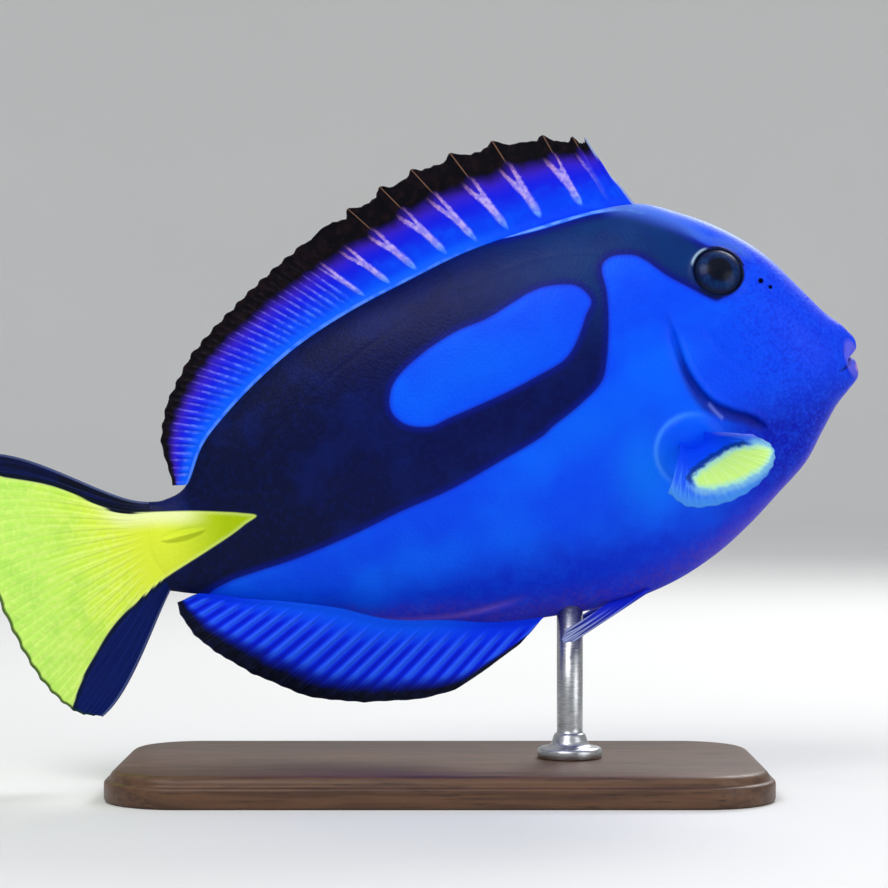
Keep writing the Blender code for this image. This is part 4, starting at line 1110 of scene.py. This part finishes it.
def pectoral_material():
    """Body blue at the root, a yellow patch on the outer half and a clear, bluish free edge."""
    paint = Paint("tang_pectoral", rough=0.45, coat=0.04, coat_rough=0.3, shine=0.15)
    part, ridge, fan, patch = paint.values("part", "ridge", "fan", "patch")
    patch = patch + paint.noise(0.0018) * 1.3 - 0.65
    clear = mix((8, 84, 238), (70, 142, 250), ridge * 0.6)
    rim = mix((20, 72, 190), (66, 142, 232), step(fan, 0.25, 0.62))
    clear = mix(clear, rim, step(part, 0.70, 0.96) * 0.85)
    clear = mix(clear, (124, 190, 224), step(patch, -2.2, -0.3) * step(part, 0.60, 0.76) * 0.8)
    paint.finish = mix(BLUE, clear, step(part, 0.35, 0.72))
    paint.over((96, 116, 240), step(fan, 0.07, 0.02) * step(part, 0.1, 0.4) * 0.75)
    paint.over((0, 50, 124), band(patch, -1.0, -0.2, 0.5) * step(part, 0.74, 0.58) * 0.85)
    sun = mix((160, 226, 206), (200, 244, 128), step(patch, 0.0, 1.7))
    paint.over(mix(sun, (224, 250, 182), ridge * 0.25), step(patch, -0.5, 0.6))
    paint.bump(paint.noise(0.0010, 3.0), 0.00003)
    return paint.done()


def pelvic_material():
    paint = Paint("tang_pelvic", rough=0.45, coat=0.04, coat_rough=0.25, shine=0.15)
    part, ridge = paint.values("part", "ridge")
    web = mix((10, 30, 186), (6, 18, 110), step(part, 0.2, 0.9))
    streak = mix((84, 110, 236), (170, 182, 230), step(part, 0.2, 0.8))
    paint.finish = mix(web, streak, ridge * 0.8)
    paint.bump(paint.noise(0.0010, 3.0), 0.00004)
    return paint.done()


def make_side_fins(tree):
    pectoral, pelvic = pectoral_material(), pelvic_material()
    for side, label in SIDES:
        side_fin("pectoral", side, label, tree, pectoral, **PECTORAL)
        side_fin("pelvic", side, label, tree, pelvic, **PELVIC)


EYE_RINGS = 40
EYE_TURNS = 96
EYE_TIP = 0.03


def eye_material():
    paint = Paint("tang_eye", rough=0.4, coat=0.13, coat_rough=0.16, shine=0.06)
    radius = paint.values("radius")[0]
    iris = mix((0, 24, 74), (4, 46, 92), paint.mottle(0.0012, 0.4, 0.7, 3.0))
    iris = mix(iris, (0, 12, 46), step(radius, 4.8, 6.0))
    paint.finish = mix(iris, (0, 7, 26), step(radius, 4.0, 2.8))
    return paint.done()


def make_eyes(matrices):
    """Each eye as a lathed lens: a glossy bulge with the pupil painted on it, on the ball of the solid."""
    material = eye_material()
    lean = np.linspace(EYE_TIP, math.pi - EYE_TIP, EYE_RINGS)
    profile = np.stack((EYE_RADIUS * np.sin(lean), EYE_HALF_DEPTH * np.cos(lean) - EYE_SINK), axis=-1)
    grid = turned(profile, EYE_TURNS).reshape(-1, 3)
    values = {"radius": np.hypot(grid[:, 0], grid[:, 1])}
    faces = capped(EYE_RINGS, EYE_TURNS)
    for (_, label), matrix in zip(SIDES, matrices):
        points = placed(moved(grid, matrix))
        new_piece(f"eyeball_{label}", points, faces, values, material, (f"eye_{label}",))


# Stand
BASE_LENGTH = 170.0
BASE_WIDTH = 86.0
BASE_CORNER = 20.0
CORNER_POINTS = 24
# Height and inset of the base's moulded edge, from the floor up
BASE_LEVELS = (
    (0.0, 0.8), (0.4, 0.2), (0.9, 0.0), (4.6, 0.0), (5.1, 0.2),
    (5.3, 0.6), (5.4, 1.1), (5.6, 1.4), (6.0, 1.5), (6.7, 1.7),
    (7.3, 2.1), (7.7, 2.7), (8.0, 3.6),
)
ROD_X = 34.0
# Radius and height of the rod with its foot, from the base up. The last height gives way to the belly
ROD_PROFILE = (
    (0.1, 8.0), (8.3, 8.0), (8.5, 8.4), (8.5, 9.9), (8.3, 10.4),
    (7.8, 10.8), (6.4, 11.0), (5.6, 11.3), (5.0, 11.8), (4.6, 12.6),
    (4.3, 13.6), (4.0, 14.2), (3.7, 14.4), (3.4, 14.6), (3.4, 16.0),
    (3.4, 30.0),
)
ROD_TURNS = 96
ROD_SUNK = 0.4


def wood_material():
    paint = Paint("stand_walnut", rough=0.5, coat=0.2, coat_rough=0.35, shine=0.3)
    rings = paint.maths("SINE", paint.noise(0.014, 3.0, stretch=(0.10, 1.0, 1.0)) * 40.0)
    fine = paint.noise(0.0012, 3.0, stretch=(0.05, 1.0, 1.0))
    pores = paint.noise(0.0009, stretch=(0.08, 1.6, 1.6))
    paint.finish = mix((70, 45, 30), (86, 57, 38), step(rings, -1.0, 1.0))
    paint.over((104, 72, 48), step(fine, 0.40, 0.62) * 0.45)
    paint.over((38, 24, 16), step(pores, 0.58, 0.70) * 0.6)
    paint.bump(pores, 0.00005)
    return paint.done(pores * 0.25 + 0.36)


def steel_material():
    paint = Paint("stand_steel", rough=0.3, metal=1.0)
    brushed = paint.noise(0.0012, 3.0, stretch=(0.6, 0.6, 14.0))
    paint.finish = mix((150, 152, 156), (196, 198, 202), step(brushed, 0.3, 0.7))
    paint.bump(brushed, 0.00002)
    return paint.done(brushed * 0.22 + 0.2)


def make_plate():
    """The base, a rounded rectangle drawn up through the levels of its edge."""
    turn = np.linspace(0, math.pi / 2, CORNER_POINTS) + math.pi / 2 * np.arange(4)[:, None]
    heading = np.stack((np.cos(turn), np.sin(turn)), axis=-1)
    corner = np.array(((1, 1), (-1, 1), (-1, -1), (1, -1))) * (BASE_LENGTH, BASE_WIDTH) / 2
    centre = (corner - np.sign(corner) * BASE_CORNER)[:, None]
    rings = []
    for height, inset in BASE_LEVELS:
        flat = (centre + heading * (BASE_CORNER - inset)).reshape(-1, 2)
        rings.append(np.column_stack((flat, np.full(len(flat), height))))
    faces = capped(len(rings), len(rings[0]))
    new_piece("stand_plate", np.array(rings), faces, {}, wood_material(), ("stand_base",))


def make_rod(tree):
    """The rod with its foot, its top shaped to the belly that it carries."""
    rings = turned(ROD_PROFILE, ROD_TURNS)
    rings[..., 0] += ROD_X
    to_fish = POSE.inverted()
    heading = (to_fish.to_3x3() @ Vector((0, 0, 1))).normalized()
    tops = []
    for place in rings[-1]:
        hit = tree.ray_cast(to_fish @ Vector(place), heading)[0]
        tops.append((POSE @ hit).z if hit else np.nan)
    rings[-1, :, 2] = np.where(np.isnan(tops), np.nanmax(tops), tops) + ROD_SUNK
    faces = capped(len(rings), ROD_TURNS)
    new_piece("stand_post", rings, faces, {}, steel_material(), ("stand_rod",))


# Studio, in metres: each light with its place, target, size and power
LIGHTS = (
    ("key", (-0.42, -0.85, 1.05), (0, 0, 0.09), 0.7, 8.0),
    ("fill", (1.00, -0.75, 0.50), (0, 0, 0.09), 0.8, 4.0),
    ("rim", (0.45, 0.75, 0.80), (0.02, 0, 0.10), 0.5, 6.0),
)
SKY_COLOUR = (0.93, 0.95, 1.0, 1.0)
SKY_POWER = 0.74
# Camera: millimetres to a pixel of the photograph at the fish, the distance, and the centre in pixels
PIXEL = 0.262
PICTURE = 888
CENTRE = (4, 344)
CAMERA_BACK = 700.0
SENSOR = 36.0
FLOOR_RADIUS = 2.4
SWEEP = 1.0
SWEEP_RINGS = 16
WALL_TOP = 3.0
FLOOR_TURNS = 96


def make_floor():
    """A pale round floor that sweeps up into a backdrop on every side."""
    profile = [(0.05, 0.0), (0.5, 0.0), (1.2, 0.0), (FLOOR_RADIUS, 0.0)]
    for turn in np.linspace(0, math.pi / 2, SWEEP_RINGS + 1)[1:]:
        profile.append((FLOOR_RADIUS + SWEEP * math.sin(turn), SWEEP - SWEEP * math.cos(turn)))
    profile.append((FLOOR_RADIUS + SWEEP, WALL_TOP))
    mesh = bpy.data.meshes.new("floor")
    points = turned(profile, FLOOR_TURNS).reshape(-1, 3)
    mesh.from_pydata(points.tolist(), [], capped(len(profile), FLOOR_TURNS, both=False))
    mesh.shade_smooth()
    paint = Paint("studio_floor", rough=0.8, shine=0.2)
    paint.finish = mix((226, 226, 224), (231, 231, 229), paint.noise(0.3))
    mesh.materials.append(paint.done())
    add_object("floor", mesh)


def make_studio():
    make_floor()
    for name, place, target, size, power in LIGHTS:
        light = bpy.data.lights.new(name, "AREA")
        light.shape = "DISK"
        light.size = size
        light.energy = power
        obj = add_object(name, light)
        obj.location = place
        obj.rotation_euler = (Vector(target) - Vector(place)).to_track_quat("-Z", "Y").to_euler()
    world = bpy.data.worlds.new("studio")
    world.use_nodes = True
    sky = world.node_tree.nodes["Background"].inputs
    sky["Color"].default_value = SKY_COLOUR
    sky["Strength"].default_value = SKY_POWER
    scene = bpy.context.scene
    scene.world = world
    scene.view_settings.view_transform = "Standard"
    camera = bpy.data.cameras.new("camera")
    camera.sensor_width = SENSOR
    camera.lens = SENSOR * CAMERA_BACK / (PICTURE * PIXEL)
    scene.camera = add_object("camera", camera)
    scene.camera.location = Vector((CENTRE[0] * PIXEL, -CAMERA_BACK, CENTRE[1] * PIXEL)) * MM
    scene.camera.rotation_euler = (math.pi / 2, 0.0, 0.0)


tree, eye_matrices = make_skin(skin_material())
make_dorsal()
make_anal()
make_tail()
make_side_fins(tree)
make_eyes(eye_matrices)
make_plate()
make_rod(tree)
make_studio()
